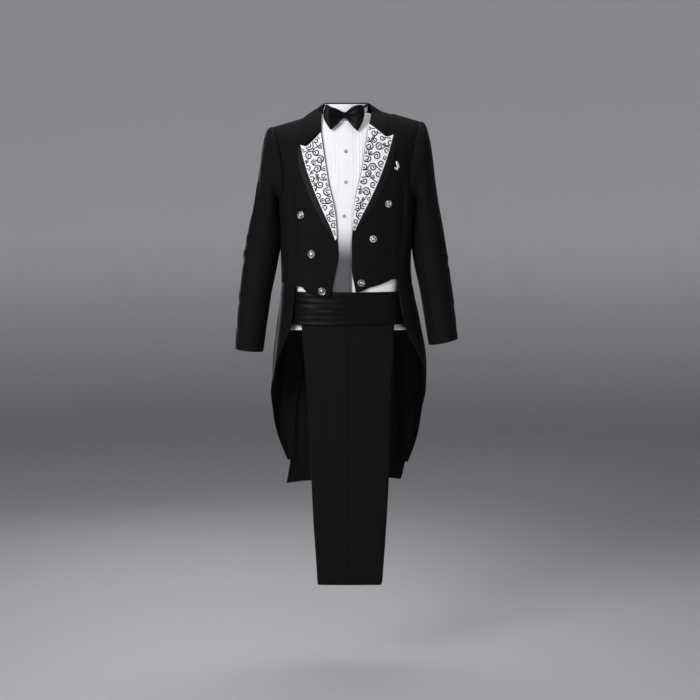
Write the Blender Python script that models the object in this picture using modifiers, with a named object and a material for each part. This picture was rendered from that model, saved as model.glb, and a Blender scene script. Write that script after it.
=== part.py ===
# Evening set as it is worn: tailcoat, dress shirt, bow tie, cummerbund and folded trousers.
# Metres, +Z up, the front faces -Y. The origin is the base of the wearer's neck.
# Every cloth piece is an open panel with a thin wall, cut and placed on one general form.
import math

import bpy
from mathutils import Vector

# Driving dimensions.
NECK_POINT = 0.075          # half of the coat's neck opening, at the shoulder seam
SHOULDER_TIP = 0.205        # half of the coat's shoulder width, at the sleeve seam
SHOULDER_TOP = 0.030        # height at which the two sloping shoulder lines would cross
SHOULDER_SLOPE = 0.30       # fall of the shoulder line per metre
SHOULDER_ROLL = 0.100       # height over which the shoulder rounds over
ARMHOLE_BOTTOM = -0.245
WAIST = -0.472              # waist seam between body and skirts
TAIL_HEM = -1.040
TROUSER_HEM = -1.325
BOX = 2.6                   # power of the form's rounded-box sections
WALL = 0.0015               # coat and trouser cloth
SHIRT_WALL = 0.0011
SEAM = 0.0003               # space between pieces at a seam
RIDGE_GAP = 0.0004          # space on each side of a shoulder seam
CENTRE = -0.004             # the coat hangs this far off the wearer's middle
CENTRE_TOP = 0.008          # but not at the neck, where the shoulder seams lie level
CENTRE_FADE = 0.050
HANG = {"left": 0.0135, "right": -0.0135}   # one front hangs higher than the other
SIGN = {"left": 1.0, "right": -1.0}         # the wearer's left is +X
SLEEVE_LIFT = 0.0020        # a sleeve head lies this far outside the armhole's edge
SHIRT_INSET = -0.007        # the shirt's wall lies this far inside the coat's
SHIRT_RIDGE = -0.0048       # and this far below it along the shoulder line
LAPEL_LIFT = 0.0022
COLLAR_LIFT = 0.0024


def table(names, *rows):
    keys = names.split()
    return [dict(zip(keys, row)) for row in rows]


BODY = table(
    "z half front back shift",
    (0.030, 0.236, 0.068, 0.092, 0.0),
    (-0.020, 0.234, 0.074, 0.094, 0.0),
    (-0.060, 0.225, 0.086, 0.102, 0.0),
    (-0.120, 0.207, 0.107, 0.117, 0.0),
    (-0.200, 0.195, 0.123, 0.123, 0.0),
    (-0.260, 0.189, 0.128, 0.120, 0.0),
    (-0.350, 0.1835, 0.126, 0.108, 0.0),
    (-0.445, 0.181, 0.121, 0.097, 0.0),
    (-0.500, 0.184, 0.122, 0.101, 0.001),
    (-0.600, 0.203, 0.126, 0.119, 0.004),
    (-0.700, 0.220, 0.124, 0.131, 0.008),
    (-0.790, 0.222, 0.122, 0.134, 0.008),
    (-0.900, 0.218, 0.120, 0.134, 0.006),
    (-0.983, 0.206, 0.118, 0.130, 0.004),
    (-1.050, 0.196, 0.116, 0.126, 0.0),
)
# Front edge of a coat front from its hem up to the break, then the roll line up to the neck.
FRONT_EDGE = table(
    "z half",
    (-0.500, 0.0365), (-0.4446, 0.0260), (-0.410, 0.0200), (-0.375, 0.0185), (-0.331, 0.0225),
    (-0.290, 0.0240), (-0.238, 0.0310), (-0.177, 0.0455), (-0.104, 0.0570), (-0.038, 0.0670),
    (-0.012, 0.0715), (0.0075, 0.0750),
)
FRONT_HEM = table(
    "half z",
    (0.0365, -0.500), (0.078, -0.495), (0.1175, -0.4815), (0.143, -0.472), (0.240, -0.472),
)
# Outer edge of the white lapel facing, with the width of the black border outside it.
LAPEL_EDGE = table(
    "z half border",
    (-0.335, 0.0270, 0.0040), (-0.306, 0.0400, 0.0100), (-0.254, 0.0670, 0.0170),
    (-0.188, 0.0965, 0.0190), (-0.120, 0.1200, 0.0180), (-0.071, 0.1340, 0.0080),
)
BREAK = -0.331              # height where the lapel starts to roll
GORGE = table("half z", (0.067, -0.038), (0.114, -0.077), (0.134, -0.071))
ARMHOLE = table(
    "z front back",
    (-0.0315, 0.205, 0.205), (-0.060, 0.197, 0.199), (-0.100, 0.186, 0.192),
    (-0.140, 0.179, 0.188), (-0.180, 0.1765, 0.187), (-0.220, 0.1805, 0.1875),
    (-0.238, 0.1865, 0.1895), (-0.245, 0.190, 0.190),
)
FRONT_SEAM_TURN = 163.0     # where the armhole meets the front seam, from its top round the front
BACK_SEAM_TURN = 235.0      # and the back seam
SEAM_ROWS = 6               # both sides of the back seam have their points at the same heights
FRONT_SEAM_ANGLE = 76.0     # the front seam at the waist, from the middle of the front
BACK_SEAM = table(
    "z angle",
    (-0.1995, 108.2), (-0.250, 118.0), (-0.320, 130.0), (-0.400, 140.0), (-0.472, 146.0),
    (-0.560, 145.5), (-0.690, 143.2), (-0.830, 139.5), (-0.983, 134.2), (-1.050, 126.0),
)
# Swept front edge of a skirt, as an angle from the middle of the front.
SKIRT_EDGE = table(
    "z angle",
    (-0.472, 49.5), (-0.530, 48.5), (-0.590, 48.5), (-0.650, 58.0), (-0.707, 71.7),
    (-0.764, 90.0), (-0.838, 106.4), (-0.881, 112.9), (-0.923, 118.9), (-0.960, 125.5),
    (-0.985, 129.5),
)
SKIRT_END = -0.985
SKIRT_GAP = 0.0016          # space under the waist seam, whose edge is a curve
SLEEVE = table(
    "step out_x out_z in_x in_z depth middle",
    (1, 0.2245, -0.0310, 0.1950, -0.2490, 0.0690, 0.000),
    (2, 0.2370, -0.0620, 0.1935, -0.2620, 0.0670, 0.002),
    (3, 0.2450, -0.1150, 0.1920, -0.2760, 0.0660, 0.004),
    (4, 0.2520, -0.1750, 0.1905, -0.2930, 0.0655, 0.004),
    (5, 0.2620, -0.2450, 0.1893, -0.3180, 0.0645, 0.004),
    (6, 0.2775, -0.3250, 0.1893, -0.3540, 0.0625, 0.003),
    (7, 0.2930, -0.4300, 0.2045, -0.4420, 0.0595, -0.002),
    (8, 0.3060, -0.5240, 0.2190, -0.5300, 0.0570, -0.009),
    (9, 0.3150, -0.6050, 0.2310, -0.6120, 0.0545, -0.018),
    (10, 0.3175, -0.6480, 0.2370, -0.6600, 0.0530, -0.025),
)
CUFF_RISE = {"left": 0.014, "right": -0.010}
SLEEVE_FRONT_SEAM = 128.0   # turn about the arm, from the outside round the front
SLEEVE_BACK_SEAM = 244.0
SLEEVE_GAP = 0.45           # turn left free on each side of a sleeve seam
# The coat collar from its front end at the gorge round to the middle of the back.
COLLAR = table(
    "turn stand_r stand_z fold_r fold_z edge_r",
    (84.0, 0.0696, 0.005, 0.0680, 0.019, 0.1170),
    (92.0, 0.0704, 0.010, 0.0652, 0.030, 0.1120),
    (104.0, 0.0715, 0.012, 0.0632, 0.0350, 0.1060),
    (135.0, 0.0705, 0.010, 0.0630, 0.0370, 0.0960),
    (158.0, 0.0700, 0.006, 0.0630, 0.0375, 0.0905),
    (180.0, 0.0700, 0.004, 0.0630, 0.0375, 0.0885),
)
COLLAR_ROLLS = (57.0, 46.0, 35.0, 24.0, 13.0)   # front rows, as turns over the shoulder's roll
# How much further the shirt is drawn in at the waist, at the front and back and at the sides.
SHIRT_TUCK_IN = table(
    "z inset side",
    (0.030, 0.0, 0.0), (-0.400, 0.0, 0.0), (-0.450, 0.004, 0.003), (-0.485, 0.0150, 0.0090),
    (-0.510, 0.0250, 0.0200), (-0.554, 0.0270, 0.0255), (-0.590, 0.0295, 0.0290),
    (-0.598, 0.0300, 0.0230), (-0.609, 0.0312, 0.0140),
)
SHIRT_HEM = -0.609
SHIRT_ROWS = (-0.609, -0.598, -0.554, -0.510, -0.470, -0.400, -0.320, -0.245)
SHIRT_NECK = 0.0600         # radius of the collar band
NECK_SEAM = SHIRT_NECK + 0.0008
SHIRT_NECK_START = 24.0     # turn from the middle of the front to the placket's edge
SHIRT_SEAM_ANGLE = 90.0     # side seam of the shirt, with its gap on each side
SHIRT_SEAM_GAP = 0.06
SHIRT_SLEEVE_INSET = -0.0064
PLACKET = table(
    "z middle",
    (-0.012, -0.003), (-0.190, -0.001), (-0.280, -0.006), (-0.460, -0.012), (-0.609, -0.014),
)
PLACKET_HALF = 0.0216
BIB_EDGE = 0.095
SHIRT_BUTTONS = (-0.103, -0.188, -0.282, -0.373, -0.462)
# Coat buttons, with each side's own place.
COAT_BUTTONS = table(
    "name left_x left_z right_x right_z",
    ("upper", 0.1169, -0.248, -0.1268, -0.279),
    ("middle", 0.0741, -0.345, -0.0969, -0.3876),
    ("lower", 0.0413, -0.468, -0.0684, -0.4915),
)
COAT_BUTTON_RADIUS = 0.0105
SHIRT_BUTTON_RADIUS = 0.0050
PIN_X = 0.1420
PIN_Z = -0.1450
CUMMERBUND = table(
    "z half front",
    (-0.504, 0.1770, 0.1150), (-0.545, 0.1785, 0.1165), (-0.590, 0.1820, 0.1180),
)
CUMMERBUND_TOP = -0.504
CUMMERBUND_BOTTOM = -0.590
CUMMERBUND_PLEATS = 6
CUMMERBUND_STEP = 0.0016
CUMMERBUND_END = 84.0
STRAP_TOP = -0.528
STRAP_BOTTOM = -0.566
STRAP_BACK = 0.0990          # reach of the strap at the middle of the back
TROUSERS = table(
    "z low_x high_x depth spread thick",
    (-0.512, -0.127, 0.132, 0.1052, 0.1645, 0.0033),
    (-0.590, -0.1265, 0.1325, 0.1055, 0.1625, 0.0034),
    (-0.640, -0.122, 0.134, 0.1040, 0.215, 0.0044),
    (-0.780, -0.108, 0.125, 0.1070, 0.290, 0.0058),
    (-1.037, -0.098, 0.119, 0.1060, 0.340, 0.0068),
    (-1.325, -0.081, 0.101, 0.1020, 0.360, 0.0080),
)
WAISTBAND_BOTTOM = -0.552
LEG_GAP = 0.0005            # half of the space between the two folded legs
BOW_X = -0.0057
BOW_Z = 0.0015
BOW_Y = -0.0703
BOW_TILT = {"left": 0.0040, "right": -0.0020}
BOW_SWELL = 0.0085          # how far the upper edge of a wing curves up


def read(rows, key, name, at):
    """A column's value at a place along the key column, on a smooth curve without overshoot."""
    pairs = sorted((row[key], row[name]) for row in rows)
    if at <= pairs[0][0]:
        return pairs[0][1]
    if at >= pairs[-1][0]:
        return pairs[-1][1]
    slopes = [(b[1] - a[1]) / (b[0] - a[0]) for a, b in zip(pairs, pairs[1:])]
    tangents = [slopes[0]]
    for low, high in zip(slopes, slopes[1:]):
        same = low * high > 0
        tangents.append(2 * low * high / (low + high) if same else 0.0)
    tangents.append(slopes[-1])
    for i, (a, b) in enumerate(zip(pairs, pairs[1:])):
        if at <= b[0]:
            span = b[0] - a[0]
            t = (at - a[0]) / span
            rise = 3 * t * t - 2 * t ** 3
            start = (t - 2 * t * t + t ** 3) * span * tangents[i]
            end = (t ** 3 - t * t) * span * tangents[i + 1]
            return a[1] + (b[1] - a[1]) * rise + start + end
    return pairs[-1][1]


def mix(a, b, t):
    return a + (b - a) * t


def clamp(value):
    return min(1.0, max(0.0, value))


def smooth(value):
    value = clamp(value)
    return value * value * (3 - 2 * value)


def rounded(value, power=2 / BOX):
    return math.copysign(abs(value) ** power, value)


def ease(t):
    """0 to 1 with points close together at both ends, as on a half circle."""
    return (1 - math.cos(math.pi * t)) / 2


# The general form ---------------------------------------------------------------------------


def shoulder_height(x):
    return SHOULDER_TOP - SHOULDER_SLOPE * abs(x)


def cover_at(x, z):
    """0 on the shoulder line, 1 where the form has its whole depth."""
    rise = clamp((shoulder_height(x) - z) / SHOULDER_ROLL)
    return math.sqrt(1 - (1 - rise) ** 2)


def on_form(angle, z, out=0.0, ridge=None):
    """A point of the form: angle in degrees from the middle of the front towards +X."""
    turn = math.radians(angle)
    side = rounded(math.sin(turn))
    fore = rounded(math.cos(turn))
    half = read(BODY, "z", "half", z)
    depth = read(BODY, "z", "front" if fore > 0 else "back", z)
    cover = cover_at(half * side, z)
    lift = (out if ridge is None else ridge) * (1 - cover)
    x = (half + out) * side + read(BODY, "z", "shift", z)
    return Vector((x, -(depth + out) * fore * cover, z + lift))


def angle_at(x, z, back=False):
    ratio = min(1.0, abs(x) / read(BODY, "z", "half", z))
    turn = math.degrees(math.asin(ratio ** (BOX / 2)))
    return math.copysign(180 - turn if back else turn, x)


def height_at(x, y):
    """Height of the form over a plan point near the neck and shoulders, with its chart angle."""
    name = "back" if y > 0 else "front"
    z = shoulder_height(x)
    for _ in range(12):
        half = read(BODY, "z", "half", z)
        fore = (1 - min(1.0, abs(x) / half) ** BOX) ** (1 / BOX)
        cover = min(1.0, abs(y) / (read(BODY, "z", name, z) * fore))
        z = mix(z, shoulder_height(x) - SHOULDER_ROLL * (1 - math.sqrt(1 - cover ** 2)), 0.7)
    return angle_at(x, z, y > 0), z


def hang_at(side, z):
    """How far a coat front's own points are moved up at a height."""
    upper = smooth(-z / 0.05)
    lower = mix(1.0, 0.55, smooth((-z - 0.42) / 0.08))
    return HANG[side] * upper * lower


def front_chart(side, half, z):
    """Chart place of a point that is given from the coat's own middle."""
    height = z + hang_at(side, z)
    middle = CENTRE * smooth((CENTRE_TOP - z) / CENTRE_FADE)
    return angle_at(middle + SIGN[side] * half, height), height


def armhole(side, turn):
    """Chart place on the armhole, turning from the shoulder tip down the front and up the back."""
    tip = shoulder_height(SHOULDER_TIP)
    z = mix(tip, ARMHOLE_BOTTOM, ease(turn / 180))
    back = turn > 180
    x = read(ARMHOLE, "z", "back" if back else "front", z)
    return SIGN[side] * angle_at(x, z, back), z


def shoulder_place(side, t, neck=NECK_POINT, back=False):
    x = mix(neck, SHOULDER_TIP, t)
    z = shoulder_height(x)
    return SIGN[side] * angle_at(x, z, back), z


def coons(left, right, bottom, top, columns, rows):
    """Rows of chart places that fill four edges. Columns and rows are lists from 0 to 1."""
    grid = []
    for v in rows:
        row = []
        for u in columns:
            place = []
            for k in (0, 1):
                across = mix(left(v)[k], right(v)[k], u)
                along = mix(bottom(u)[k], top(u)[k], v)
                low = mix(bottom(0)[k], bottom(1)[k], u)
                high = mix(top(0)[k], top(1)[k], u)
                place.append(across + along - mix(low, high, v))
            row.append(tuple(place))
        grid.append(row)
    return grid


def even(count, start=0.0, end=1.0):
    return [mix(start, end, i / count) for i in range(count + 1)]


# Objects ------------------------------------------------------------------------------------


def clear_scene():
    for thing in list(bpy.data.objects):
        bpy.data.objects.remove(thing, do_unlink=True)


def material(name, colour, roughness, metallic=0.0):
    made = bpy.data.materials.new(name)
    made.use_nodes = True
    shader = made.node_tree.nodes["Principled BSDF"]
    shader.inputs["Base Color"].default_value = (*colour, 1.0)
    shader.inputs["Roughness"].default_value = roughness
    shader.inputs["Metallic"].default_value = metallic
    return made


def add_object(name, mesh, finish):
    mesh.materials.append(finish)
    thing = bpy.data.objects.new(name, mesh)
    SET.objects.link(thing)
    return thing


def thicken(thing, thickness):
    wall = thing.modifiers.new("Wall", "SOLIDIFY")
    wall.thickness = thickness
    wall.offset = 0.0
    wall.use_even_offset = False


def panel(name, grid, thickness, finish, ring=False):
    """Cloth from rows of points. A ring joins each row's last point to its first."""
    width = len(grid[0])
    points = [point for row in grid for point in row]
    faces = []
    for r in range(len(grid) - 1):
        for c in range(width if ring else width - 1):
            n = (c + 1) % width
            faces.append((r * width + c, r * width + n, (r + 1) * width + n, (r + 1) * width + c))
    mesh = bpy.data.meshes.new(name)
    mesh.from_pydata([tuple(p) for p in points], [], faces)
    mesh.shade_smooth()
    thing = add_object(name, mesh, finish)
    thicken(thing, thickness)
    return thing


def mirrored(grid):
    return [[Vector((-p.x, p.y, p.z)) for p in row] for row in grid]


def evaluated_mesh(thing):
    graph = bpy.context.evaluated_depsgraph_get()
    return bpy.data.meshes.new_from_object(thing.evaluated_get(graph))


def place_on(thing, point, normal):
    thing.rotation_mode = "QUATERNION"
    thing.rotation_quaternion = Vector(normal).to_track_quat("Z", "Y")
    thing.location = point


def form_normal(angle, z):
    across = on_form(angle + 0.5, z) - on_form(angle - 0.5, z)
    up = on_form(angle, z + 0.002) - on_form(angle, z - 0.002)
    return across.cross(up).normalized()


def turned(name, profile, steps, finish):
    """A round piece from a profile of (radius, height) pairs, from its top down its outer side."""
    mesh = bpy.data.meshes.new(name)
    edges = [(i, i + 1) for i in range(len(profile) - 1)]
    mesh.from_pydata([(r, 0.0, h) for r, h in profile], edges, [])
    thing = add_object(name, mesh, finish)
    screw = thing.modifiers.new("Turn", "SCREW")
    screw.steps = steps
    screw.render_steps = steps
    screw.use_merge_vertices = True
    screw.merge_threshold = 0.00001
    screw.use_smooth_shade = True
    return thing


# Coat ---------------------------------------------------------------------------------------


def front_hem(side, angle):
    x = read(BODY, "z", "half", WAIST) * rounded(math.sin(math.radians(min(90.0, abs(angle)))))
    half = x - SIGN[side] * CENTRE
    z = read(FRONT_HEM, "half", "z", half)
    fade = 1 - smooth((abs(angle) - 50) / (FRONT_SEAM_ANGLE - 50))
    return z + hang_at(side, z) * fade


def add_coat_front(side):
    sign = SIGN[side]
    split = 0.47
    gap = SEAM / 2

    def edge(v):
        if v < split:
            z = mix(FRONT_EDGE[0]["z"], ARMHOLE_BOTTOM, v / split)
        else:
            z = mix(ARMHOLE_BOTTOM, FRONT_EDGE[-1]["z"], ease((v - split) / (1 - split)))
        return front_chart(side, read(FRONT_EDGE, "z", "half", z), z)

    def seam(v):
        if v < split:
            top = armhole(side, FRONT_SEAM_TURN)
            t = v / split
            low = (sign * FRONT_SEAM_ANGLE, front_hem(side, FRONT_SEAM_ANGLE))
            return mix(low[0], top[0], t) - sign * math.degrees(gap / 0.15), mix(low[1], top[1], t)
        place = armhole(side, FRONT_SEAM_TURN * (1 - (v - split) / (1 - split)))
        return place

    def hem(u):
        angle = mix(edge(0)[0], seam(0)[0], u)
        return angle, front_hem(side, angle)

    def top(u):
        return shoulder_place(side, u)

    rows = even(6, 0, split) + even(9, split, 1)[1:]
    chart = coons(edge, seam, hem, top, even(10), rows)
    grid = [[on_form(a, z) for a, z in row] for row in chart]
    for point in grid[-1]:
        point.y -= RIDGE_GAP
    panel(f"coat_front_{side}", grid, WALL, WOOL)


def seam_angle(z):
    return read(BACK_SEAM, "z", "angle", z)


def add_sidebody(side):
    sign = SIGN[side]
    gap = math.degrees(SEAM / 2 / 0.15)
    start = armhole(side, FRONT_SEAM_TURN)
    end = armhole(side, BACK_SEAM_TURN)

    def left(v):
        z = mix(WAIST, start[1], v)
        return mix(sign * FRONT_SEAM_ANGLE, start[0], v) + sign * gap, z

    def right(v):
        z = mix(WAIST, end[1], v)
        return sign * (seam_angle(z) - gap), z

    def bottom(u):
        return mix(left(0)[0], right(0)[0], u), WAIST

    def top(u):
        angle, z = armhole(side, mix(FRONT_SEAM_TURN, BACK_SEAM_TURN, u))
        return angle + sign * gap * (1 - 2 * u), z

    chart = coons(left, right, bottom, top, even(6), even(SEAM_ROWS))
    grid = [[on_form(a, z) for a, z in row] for row in chart]
    panel(f"coat_side_{side}", grid, WALL, WOOL)


def add_coat_back(side):
    sign = SIGN[side]
    gap = math.degrees(SEAM / 2 / 0.15)
    waist_at = 0.50
    seam_top = 0.72
    neck_at = 0.30
    hem_z = TAIL_HEM + HANG[side] * 0.6
    corner = armhole(side, BACK_SEAM_TURN)
    blade = -0.185

    def middle(v):
        if v < waist_at:
            z = mix(hem_z, WAIST, v / waist_at)
            return sign * (180 - mix(1.6, gap * 0.8, v / waist_at)), z
        z = mix(WAIST, blade, (v - waist_at) / (seam_top - waist_at))
        if v > seam_top:
            z = mix(blade, nape[1], math.sin(math.pi / 2 * (v - seam_top) / (1 - seam_top)))
        return sign * (180 - gap * 0.8), z

    def outer(v):
        if v < waist_at:
            z = mix(hem_z - 0.004, WAIST, v / waist_at)
            return sign * (seam_angle(z) + gap), z
        if v < seam_top:
            z = mix(WAIST, corner[1], (v - waist_at) / (seam_top - waist_at))
            return sign * (seam_angle(z) + gap), z
        return armhole(side, mix(BACK_SEAM_TURN, 360, (v - seam_top) / (1 - seam_top)))

    def hem(u):
        return mix(middle(0)[0], outer(0)[0], u), mix(middle(0)[1], outer(0)[1], u)

    def neckline(t):
        turn = math.radians(90 * t)
        angle, z = height_at(NECK_POINT * math.sin(turn), 0.0690 * math.cos(turn))
        return sign * angle, z

    nape = neckline(0.02)

    def top(u):
        if u < neck_at:
            return neckline(mix(0.02, 0.995, u / neck_at))
        return shoulder_place(side, (u - neck_at) / (1 - neck_at), back=True)

    columns = even(3, 0, neck_at) + even(6, neck_at, 1)[1:]
    rows = even(9, 0, waist_at) + even(SEAM_ROWS, waist_at, seam_top)[1:] + even(8, seam_top, 1)[1:]
    chart = coons(middle, outer, hem, top, columns, rows)
    grid = [[on_form(a, z) for a, z in row] for row in chart]
    for point in grid[-1][3:]:
        point.y += RIDGE_GAP
    panel(f"coat_back_{side}", grid, WALL, WOOL)


def add_skirt(side):
    """Skirt from the waist seam to the swept edge, its back part pleated under the back panel."""
    sign = SIGN[side]
    under_lap = 4.5
    dip = (0.0, 0.0, 0.0, 0.0, 0.0, 0.0, 0.0, -0.0027, -0.0030)
    turn_in = 2.5
    grid = []
    for v in even(12):
        z = mix(WAIST - SKIRT_GAP, SKIRT_END, v)
        front = read(SKIRT_EDGE, "z", "angle", z)
        pleat = seam_angle(z) - 0.2
        angles = [mix(front, pleat - turn_in, share) for share in even(6)]
        angles += [pleat + 0.3, pleat + under_lap]
        row = []
        for angle, out in zip(angles, dip):
            drop = (front_hem(side, angle) - WAIST) * (1 - smooth(v * 6))
            row.append(on_form(sign * angle, z + drop, out))
        grid.append(row)
    panel(f"coat_skirt_{side}", grid, WALL, WOOL)


def add_lapel(side):
    sign = SIGN[side]
    top_z = GORGE[-1]["z"]

    def roll(v):
        z = mix(BREAK, GORGE[0]["z"], v)
        return front_chart(side, read(FRONT_EDGE, "z", "half", z), z)

    def edge_place(v, share):
        z = mix(LAPEL_EDGE[0]["z"], top_z, v)
        half = read(LAPEL_EDGE, "z", "half", z)
        ahead = read(LAPEL_EDGE, "z", "half", min(top_z, z + 0.004))
        behind = read(LAPEL_EDGE, "z", "half", max(LAPEL_EDGE[0]["z"], z - 0.004))
        along = Vector((ahead - behind, min(top_z, z + 0.004) - max(LAPEL_EDGE[0]["z"], z - 0.004)))
        along.normalize()
        width = mix(SEAM, read(LAPEL_EDGE, "z", "border", z), share)
        return front_chart(side, half + along.y * width, z - along.x * width)

    def edge(v):
        z = mix(LAPEL_EDGE[0]["z"], top_z, v)
        return front_chart(side, read(LAPEL_EDGE, "z", "half", z), z)

    notch = 0.70

    def gorge(u):
        if u < notch:
            half = mix(GORGE[0]["half"], GORGE[1]["half"], u / notch)
        else:
            half = mix(GORGE[1]["half"], GORGE[2]["half"], (u - notch) / (1 - notch))
        low, high = (0, 1) if u < notch else (1, 2)
        span = (half - GORGE[low]["half"]) / (GORGE[high]["half"] - GORGE[low]["half"])
        return front_chart(side, half, mix(GORGE[low]["z"], GORGE[high]["z"], span))

    def foot(u):
        return mix(roll(0)[0], edge(0)[0], u), mix(roll(0)[1], edge(0)[1], u)

    chart = coons(roll, edge, foot, gorge, even(4, 0, notch) + even(2, notch, 1)[1:], even(13))
    grid = []
    for row in chart:
        grid.append([on_form(a, z, LAPEL_LIFT + 0.0010 * math.sin(math.pi * c / 6))
                     for c, (a, z) in enumerate(row)])
    panel(f"lapel_{side}", grid, WALL, SATIN_WHITE)
    border = [[on_form(*edge_place(v, share), LAPEL_LIFT) for share in (0.0, 0.5, 1.0)]
              for v in even(13)]
    panel(f"lapel_border_{side}", border, WALL, SATIN)


def collar_side(side):
    """Rows round one half of the collar, each from the stand's foot over the fold to the edge."""
    sign = SIGN[side]
    rows = []
    for i, roll in enumerate(COLLAR_ROLLS):
        share = i / (len(COLLAR_ROLLS) - 1)
        drop = SHOULDER_ROLL * (1 - math.cos(math.radians(roll)))
        inner_half = mix(GORGE[0]["half"] + 0.0006, 0.0694, share ** 0.7)
        inner = front_chart(side, inner_half, shoulder_height(inner_half) - drop + 0.0008)
        outer_half = mix(GORGE[1]["half"] + 0.0006, 0.1180, share ** 0.6)
        fall = mix(shoulder_height(outer_half) - GORGE[1]["z"] - 0.0022, 0.0040, share)
        outer = front_chart(side, outer_half, shoulder_height(outer_half) - fall)
        row = []
        for t in (0.0, 0.07, 0.14, 0.22, 0.42, 0.70, 1.0):
            angle, z = mix(inner[0], outer[0], t), mix(inner[1], outer[1], t)
            lift = COLLAR_LIFT + 0.0012 * smooth(share * 3) + 0.0010 * math.sin(math.pi * t)
            row.append(on_form(angle, z, lift))
        rows.append(row)
    for turn in (84.0, 92.0, 104.0, 122.0, 141.0, 160.0, 180.0):
        angle = math.radians(turn)
        across, back = sign * math.sin(angle), -math.cos(angle)
        stand_r = read(COLLAR, "turn", "stand_r", turn)
        stand_z = read(COLLAR, "turn", "stand_z", turn)
        fold_r = read(COLLAR, "turn", "fold_r", turn)
        fold_z = read(COLLAR, "turn", "fold_z", turn)
        edge_r = read(COLLAR, "turn", "edge_r", turn)
        chart_angle, chart_z = height_at(edge_r * math.sin(angle), edge_r * back)
        edge = on_form(sign * chart_angle, chart_z, COLLAR_LIFT + 0.0012)
        stand = Vector((stand_r * across, stand_r * back, stand_z))
        fold = Vector((fold_r * across, fold_r * back, fold_z))
        out = Vector((across, back, 0))
        near = fold + out * 0.0034 + Vector((0, 0, 0.0012))
        over = fold + out * 0.0066 + Vector((0, 0, -0.0026))
        belly = over.lerp(edge, 0.5) + out * 0.0015 + Vector((0, 0, 0.0030))
        rows.append([stand, stand.lerp(fold, 0.5), fold, near, over, belly, edge])
    return rows


def add_coat_collar():
    left = collar_side("left")
    right = collar_side("right")
    panel("coat_collar", left + list(reversed(right))[1:], WALL, WOOL)


def sleeve_point(side, step, turn, inset=0.0):
    sign = SIGN[side]
    turn = turn % 360
    share = ease(turn / 180)
    if step == 0:
        angle, z = armhole(side, turn)
        return on_form(angle, z + abs(inset) * 0.6 * share, SLEEVE_LIFT + inset)
    cuff = CUFF_RISE[side] * smooth((step - 6) / 4)
    out_x = read(SLEEVE, "step", "out_x", step) - abs(inset)
    in_x = read(SLEEVE, "step", "in_x", step) + abs(inset)
    out_z = read(SLEEVE, "step", "out_z", step) + inset * (1 - smooth(step / 4)) + cuff * 1.2
    in_z = read(SLEEVE, "step", "in_z", step) + 1.4 * abs(inset) * (1 - smooth(step / 4)) + cuff * 0.8
    depth = read(SLEEVE, "step", "depth", step) - abs(inset)
    y = read(SLEEVE, "step", "middle", step) - depth * math.sin(math.radians(turn))
    return Vector((sign * mix(out_x, in_x, share), y, mix(out_z, in_z, share)))


def add_sleeve(side):
    steps = [0, 1, 2, 3, 4, 5, 5.6, 6.2, 6.8, 7.6, 8.4, 9.2, 10]
    top_turns = even(11, SLEEVE_BACK_SEAM - 360 + SLEEVE_GAP, SLEEVE_FRONT_SEAM - SLEEVE_GAP)
    under_turns = even(5, SLEEVE_FRONT_SEAM + SLEEVE_GAP, SLEEVE_BACK_SEAM - SLEEVE_GAP)
    for name, turns in (("top", top_turns), ("under", under_turns)):
        grid = [[sleeve_point(side, step, turn) for turn in turns] for step in steps]
        panel(f"sleeve_{name}_{side}", grid, WALL, WOOL)


def add_coat_buttons():
    r = COAT_BUTTON_RADIUS
    profile = [(0.0, 0.0062), (0.35 * r, 0.0060), (0.62 * r, 0.0050), (0.74 * r, 0.0040),
               (0.86 * r, 0.0046), (r, 0.0034), (r, 0.0016), (0.45 * r, 0.0008),
               (0.30 * r, 0.0), (0.0, 0.0)]
    for row in COAT_BUTTONS:
        for side in SIGN:
            x, z = row[f"{side}_x"], row[f"{side}_z"]
            angle = angle_at(x, z)
            button = turned(f"coat_button_{row['name']}_{side}", profile, 10, SILVER)
            normal = form_normal(angle, z)
            place_on(button, on_form(angle, z) + normal * (WALL / 2 + 0.0001), normal)


def add_pin():
    """Leaf-shaped pin: a long petal and a short one on one stem."""
    angle = angle_at(PIN_X, PIN_Z)
    normal = form_normal(angle, PIN_Z)
    across = Vector((0, 0, 1)).cross(normal).normalized()
    up = normal.cross(across)
    middle = on_form(angle, PIN_Z) + normal * (WALL / 2 + 0.0030)
    petals = (
        (middle + up * 0.0045 + across * 0.0015, up + across * -0.35, 0.0105, 0.0045, 0.0026),
        (middle - up * 0.0070 - across * 0.0045, up * 0.8 + across * -1.0, 0.0060, 0.0028, 0.0024),
        (middle - up * 0.0045 - across * 0.0005, up - across * 0.1, 0.0075, 0.0013, 0.0020),
    )
    made = []
    for i, (centre, along, length, width, thick) in enumerate(petals):
        bpy.ops.mesh.primitive_uv_sphere_add(segments=8, ring_count=5, radius=1.0)
        petal = bpy.context.object
        along = along.normalized()
        wide = along.cross(normal).normalized()
        for vertex in petal.data.vertices:
            x, y, z = vertex.co
            taper = 1 - 0.35 * z * z
            beside = wide * (x * width * taper) + normal * (y * thick)
            vertex.co = centre + along * (z * length) + beside
        made.append(petal)
    first = made[0]
    for other in made[1:]:
        join = first.modifiers.new("Join", "BOOLEAN")
        join.operation = "UNION"
        join.object = other
    mesh = evaluated_mesh(first)
    for petal in made:
        bpy.data.objects.remove(petal, do_unlink=True)
    mesh.name = "coat_pin"
    add_object("coat_pin", mesh, SILVER)


# Shirt --------------------------------------------------------------------------------------


def on_shirt(angle, z, out=0.0):
    facing = math.cos(math.radians(angle)) ** 2
    drawn_in = mix(read(SHIRT_TUCK_IN, "z", "side", z), read(SHIRT_TUCK_IN, "z", "inset", z), facing)
    return on_form(angle, z, SHIRT_INSET - drawn_in + out, SHIRT_RIDGE + out)


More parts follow.
